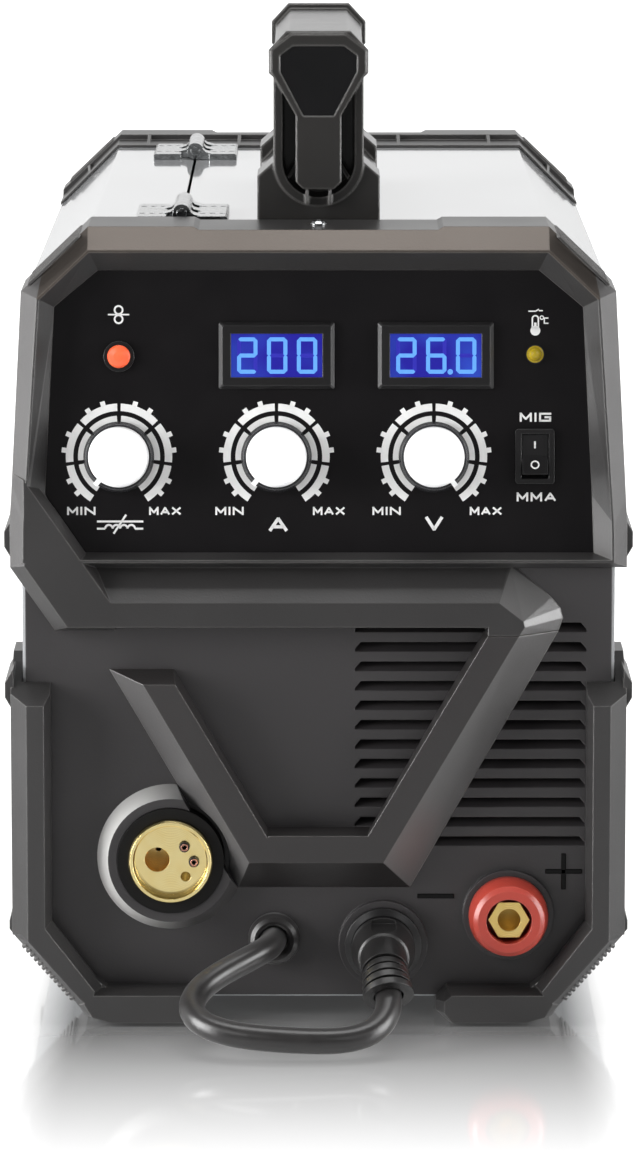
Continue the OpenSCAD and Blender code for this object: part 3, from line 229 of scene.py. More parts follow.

# The ring round the torch socket is painted pale on the left, a painted highlight of light from that side,
# and so are the broad outer bevels of the brace, the apron's right end and the frames' side bevels; the
# hood's top bevels are painted warmer and paler as highlight.
# The tests on a normal tell faces that lean forwards, sideways, up or down from the flat ones.
collar_highlight_abs, tree, bsdf = new_material("collar ABS with painted highlight", IOR=1.5)
coords = add_node(tree, "ShaderNodeTexCoord")
axes = add_node(tree, "ShaderNodeSeparateXYZ", [("Vector", coords.outputs["Object"])])
lit_from_left = rescale(tree, axes.outputs["X"], 1, 0, from_low=-0.086, from_high=-0.05)
two_tone(tree, bsdf, lit_from_left, ("3c3b3b", "cecdcb"), (0.26, 0.38), noise(tree, 6))
bump(tree, bsdf, noise(tree, 1.2, 1), 0.03, 0.5)
second_material("front_cover", collar_highlight_abs,
                lambda p, normal: p.y < COVER_FACE - 0.5
                and COLLAR[0] < hypot(p.x - TORCH[0], p.z - TORCH[1]) < COLLAR[1])
second_material("front_brace", highlight_nylon,
                lambda p, normal: normal.y < -0.3 and abs(normal.x) > 0.3 and normal.z < -0.1)
second_material("front_frame", highlight_nylon,
                lambda p, normal: p.x > APRON_END[0] and p.z < APRON_END[1]
                and normal.y < -0.2 and normal.x > 0.3)
second_material("front_frame", hood_highlight_nylon,
                lambda p, normal: p.y < HOOD[0] and p.z > HOOD[1]
                and normal.z > 0.05 and normal.y < -0.05)
for name in ("front_frame", "rear_frame"):
    second_material(name, highlight_nylon,
                    lambda p, normal: abs(p.x) > SIDES[0] and p.z > SIDES[1]
                    and abs(normal.x) > 0.5 and abs(normal.y) > 0.25)


def start(kind, name, **size):
    """A new mesh primitive, alone in the selection. Pieces are drawn in millimetres."""
    bpy.ops.object.select_all(action="DESELECT")
    getattr(bpy.ops.mesh, f"primitive_{kind}_add")(**size)
    piece = bpy.context.object
    piece.name = name
    return piece


def apply_all(piece):
    """Puts an object's own place, turn and size into its mesh."""
    piece.data.transform(piece.matrix_basis)
    piece.matrix_basis = Matrix.Identity(4)


def join(name, parts):
    """Makes one piece of several."""
    bpy.ops.object.select_all(action="DESELECT")
    for part in parts:
        apply_all(part)
        part.select_set(True)
    bpy.context.view_layer.objects.active = parts[0]
    if len(parts) > 1:
        bpy.ops.object.join()
    parts[0].name = name
    return parts[0]


def put(piece, where):
    """Moves a piece from its own millimetres to a place in the row frame."""
    apply_all(piece)
    piece.data.transform(where @ Matrix.Scale(0.001, 4))
    return piece


def fit_out(piece, body, material):
    """Gives a placed piece its body and its material."""
    piece.data.materials.clear()
    piece.data.materials.append(material)
    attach(piece, body)
    return piece


def choose_faces(piece, chosen):
    """Selects the faces for which chosen(centre) is true, and nothing else."""
    bpy.ops.object.mode_set(mode="EDIT")
    bpy.ops.mesh.select_mode(type="FACE")
    bpy.ops.mesh.select_all(action="DESELECT")
    bpy.ops.object.mode_set(mode="OBJECT")
    for face in piece.data.polygons:
        face.select = chosen(face.center)
    bpy.ops.object.mode_set(mode="EDIT")


def facing_front(x, depth, z):
    """A frame at a point in mm whose third axis points out of the machine's front."""
    place = Matrix.Translation((x / 1000, FRONT + depth / 1000, z / 1000))
    return place @ Matrix.Rotation(radians(90), 4, "X")


# Polarity signs: raised strokes on the cover beside the two welding sockets, rubbed shiny.
sign_black, tree, bsdf = new_material("polished ABS", Base_Color=linear("050505"), IOR=1.5,
                                      Specular_IOR_Level=0.15)
tree.links.new(bsdf.inputs["Roughness"], rescale(tree, noise(tree, 5), 0.16, 0.3))
SIGN_LENGTH = 15
SIGN_WIDTH = 2
SIGN_RISE = 0.4


def stroke(turned):
    """A raised bar with bevelled edges, sunk to half its thickness, turned by an angle in degrees."""
    piece = start("cube", "stroke", size=1, scale=(SIGN_LENGTH, SIGN_WIDTH, 2 * SIGN_RISE))
    apply_all(piece)
    bevel = piece.modifiers.new("edge", "BEVEL")
    bevel.width = 0.25
    bevel.segments = 2
    bpy.ops.object.modifier_apply(modifier="edge")
    piece.data.transform(Matrix.Rotation(radians(turned), 4, "Z"))
    return piece


for name, turns, x, z in (("plus_sign", (0, 90), 99.4, 60.5), ("minus_sign", (0,), 47.6, 50.3)):
    sign = join(name, [stroke(turned) for turned in turns])
    fit_out(put(sign, facing_front(x, COVER_FACE, z)), "chassis", sign_black)

# Grip ribs moulded down the slanted corners of the front frame's hood and of the rear frame.
CORNER_LOW = Vector((119.3, 296.4))    # the corner's outline, as x and height
CORNER_HIGH = Vector((93, 321.5))
RIB_PITCH = 2.2
RIB_SHARE = 0.8   # a rib's length as a share of the slanted corner's
RIB_RISE = 0.55
RIB_TAPER = 0.8   # how far a rib's ends draw in towards its top
RIB_TOP = 0.6     # width of a rib's top as a share of its foot's
RIB_RUNS = {"hood": (18, 48), "rear": (440, 20)}   # depth where the ribs begin, and the run's length


def corner_ribs(name, side, start_depth, length):
    """Parallel ribs down one slanted corner, with bevelled ends, side by side from start_depth back."""
    down = CORNER_LOW - CORNER_HIGH
    middle = (CORNER_LOW + CORNER_HIGH) / 2
    reach = RIB_SHARE * down.length
    tilt = Matrix.Rotation(-atan2(down.y, down.x), 4, "Y")
    ribs = []
    for k in range(int(length / RIB_PITCH)):
        rib = start("cube", "rib", size=1)
        apply_all(rib)
        rib.data.transform(Matrix.Diagonal((reach, RIB_PITCH / 2, 2 * RIB_RISE, 1)))
        choose_faces(rib, lambda c: c.z > RIB_RISE / 2)
        bpy.ops.transform.resize(value=(1 - 2 * RIB_TAPER / reach, RIB_TOP, 1),
                                 center_override=(0, 0, RIB_RISE))
        bpy.ops.object.mode_set(mode="OBJECT")
        spot = Matrix.Translation((middle.x, start_depth + RIB_PITCH * (k + 0.5), middle.y))
        rib.data.transform(spot @ tilt)
        ribs.append(rib)
    grips = join(name, ribs)
    if side < 0:
        grips.data.transform(Matrix.Diagonal((-1, 1, 1, 1)))
        grips.data.flip_normals()
    return put(grips, Matrix.Translation((0, FRONT, 0)))


for name, side in (("right", 1), ("left", -1)):
    for end, run in RIB_RUNS.items():
        fit_out(corner_ribs(f"{end}_ribs_{name}", side, *run), "chassis", frame_nylon)

# ---------------------------------------------------------------- control panel
# A polyester film, black with white screen print, bonded to a plate that leans back 7 degrees.
LEAN = radians(7)
RIDGE = (0.006, 0.193)  # depth and height of the edge that the panel's frame leans from
PANEL_FACE = -10        # the film lies this far behind the ridge
INK = 0.06              # the print stands this proud of the film


def on_panel(x, z, height=0.0):
    """The panel's own frame at x and z in mm; its third axis points out of the film."""
    up = (z - RIDGE[1] * 1000 - PANEL_FACE * sin(LEAN)) / cos(LEAN)
    plane = Matrix.Translation((0, FRONT + RIDGE[0], RIDGE[1])) @ Matrix.Rotation(radians(90) - LEAN, 4, "X")
    return plane @ Matrix.Translation(Vector((x, up, PANEL_FACE + height)) / 1000)


# Film: near-black and satin, with the faint weave of the print's coarse grain.
panel_film, tree, bsdf = new_material("printed film", IOR=1.5, Specular_IOR_Level=0.2)
two_tone(tree, bsdf, noise(tree, 35, 3), ("080709", "100e0f"), (0.3, 0.42), noise(tree, 12))
bump(tree, bsdf, noise(tree, 0.5, 1), 0.01)
dress(panel_film, "control_panel")

# Ink: opaque, matt, very slightly uneven where the squeegee ran, and given a faint painted glow.
ink_with_painted_glow, tree, bsdf = new_material("white ink with painted glow", Roughness=0.55, Emission_Color=linear("ffffff"),
                                     Emission_Strength=0.05)
two_tone(tree, bsdf, noise(tree, 6, 3), ("c6c6c5", "dadad9"))


def flat_ring(name, inner, outer, dropped=None, steps=360):
    """A flat ring round the origin, without the faces for which dropped(angle from the top) is true."""
    ring = start("circle", name, vertices=steps, radius=outer, fill_type="NGON")
    bpy.ops.object.mode_set(mode="EDIT")
    bpy.ops.mesh.inset(thickness=outer - inner)
    bpy.ops.mesh.delete(type="FACE")
    bpy.ops.object.mode_set(mode="OBJECT")
    if dropped:
        choose_faces(ring, lambda c: dropped(degrees(atan2(c.x, c.y))))
        bpy.ops.mesh.delete(type="FACE")
        bpy.ops.object.mode_set(mode="OBJECT")
    return ring


def bar(x0, y0, x1, y1, width, over=0.0):
    """A flat bar from one point to another, carried on by over at both ends."""
    piece = start("plane", "bar", size=1)
    along = Vector((x1 - x0, y1 - y0))
    piece.data.transform(
        Matrix.Translation(((x0 + x1) / 2, (y0 + y1) / 2, 0))
        @ Matrix.Rotation(atan2(along.y, along.x), 4, "Z")
        @ Matrix.Diagonal((along.length + 2 * over, width, 1, 1)))
    return piece


# Wide square capitals as strokes on a unit square; the I is a single stroke with no width.
LETTERS = {
    "A": (((0, 0), (0.5, 1), (1, 0)), ((0.24, 0.3), (0.76, 0.3))),
    "C": (((1, 1), (0, 1), (0, 0), (1, 0)),),
    "G": (((1, 1), (0, 1), (0, 0), (1, 0), (1, 0.5), (0.55, 0.5)),),
    "I": (((0, 0), (0, 1)),),
    "M": (((0, 0), (0, 1), (0.5, 0.25), (1, 1), (1, 0)),),
    "N": (((0, 0), (0, 1), (1, 0), (1, 1)),),
    "V": (((0, 1), (0.5, 0), (1, 1)),),
    "X": (((0, 0), (1, 1)), ((0, 1), (1, 0))),
}
LETTER_GAP = 0.46


def lettering(word, width, height, weight):
    """A word in even strokes round the origin, fitted to a width and height."""
    widths = [0 if letter == "I" else 1 for letter in word]
    unit = (width - weight) / (sum(widths) + LETTER_GAP * (len(word) - 1))
    tall = height - weight
    x = (weight - width) / 2
    strokes = []
    for letter, letter_width in zip(word, widths):
        for line in LETTERS[letter]:
            for (x0, y0), (x1, y1) in zip(line, line[1:]):
                over = weight / 2 if x0 == x1 or y0 == y1 else weight / 5
                strokes.append(bar(x + x0 * unit, (y0 - 0.5) * tall, x + x1 * unit, (y1 - 0.5) * tall,
                                   weight, over))
        x += (letter_width + LETTER_GAP) * unit
    return join("lettering", strokes)


DIAL_END = 147                 # the scales stop this far either side of the top, in degrees
DIAL_GAPS = (0, 49, 98)        # thin breaks, the same on both sides
DIAL_TEETH = (17, 34, 66, 83, 116, 131)
GAP_WIDTH = 1.5
OUTER_RING = (18.4, 21.4)      # inner and outer radius
INNER_RING = (13.9, 16.5)
TOOTH = (21.2, 23.2)           # radius of a tooth's foot and tip
TOOTH_WIDTH = 2


def dial_scale():
    """The printed scale round a knob: an outer toothed ring and an inner ring, both broken."""

    def broken(radius):
        half_gap = degrees(GAP_WIDTH / 2 / radius)
        return lambda a: abs(a) > DIAL_END or any(abs(abs(a) - g) < half_gap for g in DIAL_GAPS)

    parts = [flat_ring("outer", *OUTER_RING, broken(20)), flat_ring("inner", *INNER_RING, broken(15))]
    for angle in DIAL_TEETH:
        for side in (-1, 1):
            tooth = bar(0, TOOTH[0], 0, TOOTH[1], TOOTH_WIDTH)
            tooth.data.transform(Matrix.Rotation(radians(side * angle), 4, "Z"))
            parts.append(tooth)
    return join("dial_scale", parts)


KNOB_Z = 229.8
KNOBS = (-80.2, -16.9, 46.4)
WORD_Z = 208.2
MIN_XS = (-95.4, -35.8, 27.4)
MAX_XS = (-61.7, 4.2, 67.3)
# The other words, each with its x, height, and its letters' width, height and stroke width.
WORDS = (("A", -16.2, 202.8, 7.8, 6, 1.3), ("V", 46.5, 203.2, 7.4, 6.1, 1.3),
         ("MIG", 87.2, 245.6, 12.6, 3.6, 0.8), ("MMA", 87.6, 213.8, 15.8, 3.6, 0.8))
prints = []
for x, min_x, max_x in zip(KNOBS, MIN_XS, MAX_XS):
    prints.append(put(dial_scale(), on_panel(x, KNOB_Z, INK)))
    for word, word_x, width in (("MIN", min_x, 11.4), ("MAX", max_x, 12.9)):
        prints.append(put(lettering(word, width, 3.3, 0.75), on_panel(word_x, WORD_Z, INK)))
for word, x, z, *size in WORDS:
    prints.append(put(lettering(word, *size), on_panel(x, z, INK)))


def inductance_symbol():
    """A straight line over a coil's row of humps, both crossed by a slanted stroke."""
    hump = 1.5
    parts = [bar(-9.3, 1.3, 9.3, 1.3, 0.8), bar(-2.6, -3.6, 2.4, 4, 0.8),
             bar(-9.3, -1.6, -6, -1.6, 0.8), bar(6, -1.6, 9.3, -1.6, 0.8)]
    for k in range(4):
        arch = flat_ring("hump", hump - 0.4, hump + 0.4, lambda a: abs(a) > 90, 48)
        arch.data.transform(Matrix.Translation(((2 * k - 3) * hump, -1.6, 0)))
        parts.append(arch)
    return join("inductance", parts)


def wire_feed_symbol():
    """Two rolls with the wire between them."""
    rolls = [flat_ring("roll", 1.25, 1.95, None, 48) for _ in range(2)]
    rolls[0].data.transform(Matrix.Translation((0, 1.85, 0)))
    rolls[1].data.transform(Matrix.Translation((0, -1.85, 0)))
    return join("wire_feed", rolls + [bar(-4.3, 0, 4.3, 0, 0.6)])


def overheat_symbol():
    """A thermometer under a broken line, with the degree sign and a C."""
    bulb = start("circle", "bulb", vertices=32, radius=2, fill_type="NGON")
    bulb.data.transform(Matrix.Translation((0, -3.2, 0)))
    stem = flat_ring("stem", 0.9, 1.5, lambda a: abs(a) > 90, 32)
    stem.data.transform(Matrix.Translation((0, 1.6, 0)))
    degree = flat_ring("degree", 0.5, 0.9, None, 24)
    degree.data.transform(Matrix.Translation((2.6, 2, 0)))
    letter = lettering("C", 1.9, 2.6, 0.5)
    letter.data.transform(Matrix.Translation((4.3, 0.8, 0)))
    return join("overheat", [
        bulb, stem, degree, letter, bar(-1.2, 1.6, -1.2, -2.6, 0.6), bar(1.2, 1.6, 1.2, -2.6, 0.6),
        bar(0, 0, 0, -3, 1), bar(-2.8, 4.6, 0.2, 4.6, 0.5), bar(0.2, 4.6, 1.4, 5.4, 0.5),
        bar(1.4, 4.8, 3, 4.8, 0.5)])


for symbol, x, z in ((inductance_symbol, -79.8, 202.7), (wire_feed_symbol, -80.3, 286.5),
                     (overheat_symbol, 87.1, 283.3)):
    prints.append(put(symbol(), on_panel(x, z, INK)))
fit_out(join("panel_print", prints), "chassis", ink_with_painted_glow)

# ---------------------------------------------------------------- displays
# Two digital meters snapped into the panel: a satin bezel, a blue window lit from behind and
# three seven-segment digits under it, of which the unlit segments still show faintly.
# Bezels, frames and rockers: black, and shinier than the covers.
black_abs = moulded("black ABS", "100f10", "464646", 0.3, 0.7, 0.02, 0.5)
dress(black_abs, "display_bezels", "button_collar", "mode_switch_frame", "mode_rocker")

# Window: blue filter with the backlight uneven, stronger in some patches than in others.
display_blue, tree, bsdf = new_material("display window", Roughness=0.12, IOR=1.49, Coat_Weight=0.5)
patches = rescale(tree, noise(tree, 22, 1), 0, 1, 0.35, 0.75)
tree.links.new(bsdf.inputs["Emission Color"], blend_colours(tree, patches, "1c1796", "274bb8"))
bsdf.inputs["Emission Strength"].default_value = 0.85
tree.links.new(bsdf.inputs["Base Color"], blend_colours(tree, patches, "0c0a50", "141c66"))
dress(display_blue, "display_lenses")


def segment_glow(name, base, glow, strongest):
    """A segment's material, whose glow is a little uneven."""
    mat, tree, bsdf = new_material(name, Base_Color=linear(base), Roughness=0.4,
                                   Emission_Color=linear(glow))
    tree.links.new(bsdf.inputs["Emission Strength"], rescale(tree, noise(tree, 1.5), 0.8, strongest))
    return mat


lit = segment_glow("lit segment", "2a4c80", "62a4f4", 1.05)
unlit = segment_glow("unlit segment", "0e0c58", "2421a6", 0.95)

DISPLAYS = {"amperes": (-16.8, "200"), "volts": (47.1, "26.0")}
DISPLAY_Z = 270.2
WINDOW = 1.3          # the windows stand this far above the film
LIT_RISE = 0.08       # the segments stand this proud of the window
UNLIT_RISE = 0.04
DIGIT_PITCH = 12
DIGIT_SHIFT = 0.2     # the digits sit this far right of the middle, and the point left of its own
DIGIT_W = 6.6         # between the centre lines of the upright segments
DIGIT_H = 13
SEGMENT = 1.6
# Segments of a digit: centre x and y as parts of its half width and half height, and upright or not.
SEGMENTS = {"a": (0, 1, False), "b": (1, 0.5, True), "c": (1, -0.5, True), "d": (0, -1, False),
            "e": (-1, -0.5, True), "f": (-1, 0.5, True), "g": (0, 0, False)}
LIT = {"0": "abcdef", "2": "abdeg", "6": "acdefg"}


def segment(key):
    """One segment of a digit, a bar with mitred ends, in its place within the digit."""
    cx, cy, upright = SEGMENTS[key]
    length = (DIGIT_H / 2 if upright else DIGIT_W) - 0.3
    piece = bar(-length / 2, 0, length / 2, 0, SEGMENT, 0.4)
    bpy.ops.object.mode_set(mode="EDIT")
    bpy.ops.mesh.select_all(action="SELECT")
    bpy.ops.mesh.bevel(offset=SEGMENT * 0.45, affect="VERTICES")
    bpy.ops.object.mode_set(mode="OBJECT")
    turn = Matrix.Rotation(radians(90 if upright else 0), 4, "Z")
    piece.data.transform(Matrix.Translation((cx * DIGIT_W / 2, cy * DIGIT_H / 2, 0)) @ turn)
    return piece


for name, (x, reading) in DISPLAYS.items():
    groups = {True: [], False: []}
    for place, digit in enumerate(reading.replace(".", "")):
        centre = x + (place - 1) * DIGIT_PITCH + DIGIT_SHIFT
        for key in SEGMENTS:
            on = key in LIT[digit]
            height = WINDOW + (LIT_RISE if on else UNLIT_RISE)
            groups[on].append(put(segment(key), on_panel(centre, DISPLAY_Z, height)))
    if "." in reading:
        point = start("circle", "point", vertices=24, radius=1.1, fill_type="NGON")
        centre = x + (reading.index(".") - 1.5) * DIGIT_PITCH - DIGIT_SHIFT
        groups[True].append(put(point, on_panel(centre, DISPLAY_Z - DIGIT_H / 2, WINDOW + LIT_RISE)))
    fit_out(join(f"{name}_digits", groups[True]), "chassis", lit)
    fit_out(join(f"{name}_blank_segments", groups[False]), "chassis", unlit)

# ---------------------------------------------------------------- knobs, button, lamp and rocker
# Knobs are a satin black skirt with a white cap and pointer pressed in; the push button and the
# lamp lens are glossy, and the rocker carries its two printed marks.
knob_black = moulded("black knob ABS", "262628", "8c8c8e", 0.26, 0.8, 0.02, 0.5)
dress(knob_black, "knob_1", "knob_2", "knob_3")

# White caps: glossy and a little translucent.
knob_white, tree, bsdf = new_material("white knob ABS", IOR=1.5, Subsurface_Weight=0.1,
                                      Subsurface_Radius=(0.002, 0.002, 0.002))
two_tone(tree, bsdf, noise(tree, 8, 3), ("f2f2f4", "fafafa"), (0.26, 0.38), noise(tree, 6))
bump(tree, bsdf, noise(tree, 0.6, 1), 0.01, 0.6)
dress(knob_white, "knob_1_cap", "knob_2_cap", "knob_3_cap")

# Push button: bright orange under a clear gloss.
button_orange, tree, bsdf = new_material("orange button", IOR=1.5, Coat_Weight=0.5, Coat_Roughness=0.08)
two_tone(tree, bsdf, noise(tree, 5), ("e84c22", "f66a3c"))
bump(tree, bsdf, noise(tree, 1.5), 0.02, 0.5)
dress(button_orange, "inch_button")

# Lamp lens: clear tinted epoxy, darker at the rim, unlit.
lamp_yellow, tree, bsdf = new_material("lamp lens", Roughness=0.08, IOR=1.5, Transmission_Weight=0.25)
two_tone(tree, bsdf, edge_mask(tree, 1.2, 2), ("a8921c", "5c4c0e"))
bump(tree, bsdf, noise(tree, 2), 0.02, 0.3)
dress(lamp_yellow, "overheat_lamp")
lamp_ring = flat_ring("lamp_ring", 2.9, 3.75, None, 48)
fit_out(put(lamp_ring, on_panel(87, 270.7, 1.05)), "chassis", knob_black)

ROCKER_TILT = radians(-10)
ROCKER_PIVOT = -2         # height of a rocker's axis over its panel, in mm
ROCKER_VALLEY = 2.9       # height of its middle crease over the axis
ROCKER_RISE = 1.5         # and of its two ends over the crease


def rocker_face(panel_frame, half_height, side):
    """A place in the middle of a rocker's upper (1) or lower (-1) face; its third axis points out."""
    middle = Vector((0, side * half_height / 2, ROCKER_VALLEY + ROCKER_RISE / 2 + INK))
    return (panel_frame @ Matrix.Translation((0, 0, ROCKER_PIVOT / 1000))
            @ Matrix.Rotation(ROCKER_TILT, 4, "X") @ Matrix.Translation(middle / 1000)
            @ Matrix.Rotation(side * atan2(ROCKER_RISE, half_height), 4, "X"))


def rocker_marks(name, body, panel_frame, half_height, reach, weight, ring):
    """A rocker's printed I, reaching this far up and down, and its O with two radii."""
    marks = [put(bar(0, -reach, 0, reach, weight), rocker_face(panel_frame, half_height, 1)),
             put(flat_ring("off_ring", *ring, None, 48), rocker_face(panel_frame, half_height, -1))]
    fit_out(join(name, marks), body, ink_with_painted_glow)


rocker_marks("mode_marks", "mode_switch", on_panel(87, 230), 8.1, 1.4, 0.7, (1.2, 1.8))

# ---------------------------------------------------------------- front sockets
# Torch socket: a turned brass body in a black insulator. Welding sockets: brass hexagons in
# moulded rings, red for plus and black for minus.
WAVE_PERIOD = 1000 * 2 * pi / 20  # mm that a wave texture with a Scale of 1 takes to repeat
LATHE_FEED = 0.69                 # mm from one turned ring to the next


def turned_metal(name, colours, roughness, axis_at, depth_mm=0.015):
    """Metal off the lathe: fine rings about a Y axis through a point in mm, and a little tarnish."""
    mat, tree, bsdf = new_material(name, Metallic=1.0)
    coords = add_node(tree, "ShaderNodeTexCoord")
    centred = add_node(tree, "ShaderNodeMapping", [("Vector", coords.outputs["Object"])],
                       Location=tuple(-c / 1000 for c in axis_at))
    rings = add_node(tree, "ShaderNodeTexWave", [("Vector", centred.outputs["Vector"])], wave_type="RINGS",
                     rings_direction="Y", Scale=WAVE_PERIOD / LATHE_FEED, Distortion=0.4, Detail=1)
    two_tone(tree, bsdf, noise(tree, 5, 3), colours, (roughness, roughness + 0.12))
    bump(tree, bsdf, rings.outputs["Fac"], depth_mm, 0.3)
    return mat


# Brass: pale and bright on the torch's body, yellower on the plugs' hexagons.
TORCH_AXIS = (TORCH[0], 0, TORCH[1])
brass_torch = turned_metal("turned brass", ("e4cb84", "f8e8ae"), 0.12, TORCH_AXIS, 0.006)
brass_plug = turned_metal("drawn brass", ("d9b25c", "f2da92"), 0.18, (77, 0, 43))
dress(brass_torch, "torch_socket")
dress(brass_plug, "socket_contacts")
dress(black_abs, "torch_contacts", "minus_ring")
# The wire pin's bore is reamed, and painted a deep yellow that stands in for the glow of its own
# reflections.
WIRE_BORE = (-65.3, 66.7)  # the bore's axis, as x and height
BORE_RADIUS = 5
BORE_MOUTH = 10.2          # depth
bore_painted_glow, tree, bsdf = new_material("bore with painted glow", Metallic=1.0)
two_tone(tree, bsdf, noise(tree, 4, 2), ("e8ab3c", "ffd67c"), (0.18, 0.3))
second_material("torch_socket", bore_painted_glow,
                lambda p, normal: p.y > BORE_MOUTH and abs(normal.y) < 0.5
                and hypot(p.x - WIRE_BORE[0], p.z - WIRE_BORE[1]) < BORE_RADIUS + 0.1)
# Phenolic insulator: dead black and matt, so that it reads as a gap round the brass.
phenolic, tree, bsdf = new_material("black phenolic", IOR=1.5, Specular_IOR_Level=0.2)
two_tone(tree, bsdf, noise(tree, 3), ("060505", "0d0c0b"), (0.4, 0.55), noise(tree, 5))
bump(tree, bsdf, noise(tree, 0.8, 1), 0.02, 0.3)
dress(phenolic, "torch_insulator")
# Pilot contacts: turned copper eyelets pressed into their insulators, pinkish beside the brass.
copper = turned_metal("turned copper", ("a86a58", "d8a898"), 0.2, TORCH_AXIS)
EYELET = (0.95, 1.5)       # inner and outer radius
EYELET_RISE = 0.35
INSULATOR_FACE = 7.98      # depth
eyelets = []
for x, z in ((5.6, 5.4), (9.4, -0.8)):
    eyelet = flat_ring("eyelet", *EYELET, None, 32)
    choose_faces(eyelet, lambda c: True)
    bpy.ops.mesh.extrude_region_move(TRANSFORM_OT_translate={"value": (0, 0, EYELET_RISE)})
    bpy.ops.object.mode_set(mode="OBJECT")
    eyelets.append(put(eyelet, facing_front(TORCH[0] + x, INSULATOR_FACE, TORCH[1] + z)))
fit_out(join("pilot_eyelets", eyelets), "chassis", copper)
# Red nylon: brick red, satin, paler on edges, partly from wear and partly as painted highlight.
red_nylon = moulded("red nylon", "9c372c", "c86c5e", 0.34, 0.8, 0.02, 0.6)
dress(red_nylon, "plus_ring")

# ---------------------------------------------------------------- cord, grommet and plug
# Polarity cord: a 10.5 mm rubber-covered copper lead. It leaves the grommet, makes one
# loop on the left and comes back along the front into the plug's boot.
CORD_DIAMETER = 0.0105
CORD_ROUTE = [
    (-18, 26, 33), (-18, 15, 33), (-18.5, 4, 33), (-23, -7, 32), (-34, -16, 28.5), (-46, -26, 23.5),
    (-52, -39, 18), (-48, -52, 13.5), (-34, -60, 10.5), (-17, -62, 9.5), (0, -62, 8.6),
    (13.5, -59.5, 8.6), (22.5, -54.5, 11), (27, -48, 15), (28.3, -41, 19.2), (27.5, -35.2, 23.7),
]


def smooth_line(corners, steps):
    """Points of a uniform cubic curve that the corners pull along, with its ends on theirs."""
    p = [Vector(c) for c in corners]
    p = [2 * p[0] - p[1]] + p + [2 * p[-1] - p[-2]]
    line = []
    for a, b, c, d in zip(p, p[1:], p[2:], p[3:]):
        for k in range(steps):
            t = k / steps
            line.append(((1 - t) ** 3 * a + (3 * t**3 - 6 * t * t + 4) * b
                         + (-3 * t**3 + 3 * t * t + 3 * t + 1) * c + t**3 * d) / 6)
    return line + [(p[-3] + 4 * p[-2] + p[-1]) / 6]


# Vulcanised rubber sheath: soft sheen, a faint bloom of lighter dust.
cord_rubber, tree, bsdf = new_material("cord rubber", IOR=1.5, Sheen_Weight=0.1)
two_tone(tree, bsdf, noise(tree, 7, 3), ("141313", "262424"), (0.26, 0.38))
bump(tree, bsdf, noise(tree, 1.2, 1), 0.03)
dress(cord_rubber, "cord_grommet")
# The plug's boot is a harder rubber, with paler ridges.
plug_rubber = moulded("plug rubber", "131212", "3a3938", 0.4, 0.9, 0.03, 0.5)
dress(plug_rubber, "polarity_plug")

cord_line = [Vector((x, y, z)) / 1000 + Vector((0, FRONT, 0)) for x, y, z in smooth_line(CORD_ROUTE, 5)]
curve = bpy.data.curves.new("polarity_lead", "CURVE")
curve.dimensions = "3D"
curve.bevel_depth = CORD_DIAMETER / 2
curve.bevel_resolution = 6
curve.use_fill_caps = True
spline = curve.splines.new("POLY")
spline.points.add(len(cord_line) - 1)
for point, place in zip(spline.points, cord_line):
    point.co = (*place, 1)
spline.use_smooth = True
lead = bpy.data.objects.new("polarity_lead", curve)
bpy.context.scene.collection.objects.link(lead)
curve.materials.append(cord_rubber)
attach(lead, "chassis")
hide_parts("polarity_cord")

# ---------------------------------------------------------------- handle
# The handle is one glass-filled nylon moulding, screwed down from inside the lid, with a bare
# acrylic inlay glued into its front cap.
# Handle: smoother than the frames, with broad edges paler, partly polished by hands and partly painted
# highlight.
handle_nylon = moulded("handle nylon", "242322", "7e7c7a", 0.22, 1.0, 0.02, 1.6)
dress(handle_nylon, "handle")
# Inlay: a black mirror.
gloss_black, tree, bsdf = new_material("polished acrylic", IOR=1.49)
two_tone(tree, bsdf, noise(tree, 20), ("0a0a0b", "121213"), (0.05, 0.12), noise(tree, 9))
dress(gloss_black, "handle_badge")

# ---------------------------------------------------------------- hinges, latch and screws
# Hinges are pressed steel leaves rolled round a pin, zinc plated bright and riveted on; the screws
# are plated too, and the latch is a black quarter-turn moulding in the door.
# Bright zinc: dark and light patches side by side.
zinc_bright, tree, bsdf = new_material("bright zinc", Metallic=1.0)
two_tone(tree, bsdf, noise(tree, 4, 3), ("4c4e4e", "c6c8c9"), (0.1, 0.2))
bump(tree, bsdf, noise(tree, 2.2, 2), 0.14, 0.35)
dress(zinc_bright, "hinge_leaves_fixed", "hinge_leaves_door", "hinge_pins", "case_screws")
dress(black_abs, "door_latch")

# ---------------------------------------------------------------- rear
# Fan, mains switch and cable gland are black mouldings fitted into the rear cover, with a red
# rocker; the gas hose tail is turned brass.
dress(black_abs, "fan_frame", "fan_rotor", "power_switch_frame", "mains_gland")
dress(red_nylon, "power_rocker")


def on_rear(x, z):
    """A frame at x and z in mm on the rear cover's face; its third axis points out of the rear."""
    place = Matrix.Translation((x / 1000, FRONT + LENGTH - COVER_FACE / 1000, z / 1000))
    return place @ Matrix.Rotation(radians(90), 4, "X") @ Matrix.Rotation(pi, 4, "Y")


rocker_marks("power_marks", "power_switch", on_rear(-66, 250), 13.6, 2.6, 1.1, (1.9, 2.9))
dress(brass_plug, "gas_inlet")

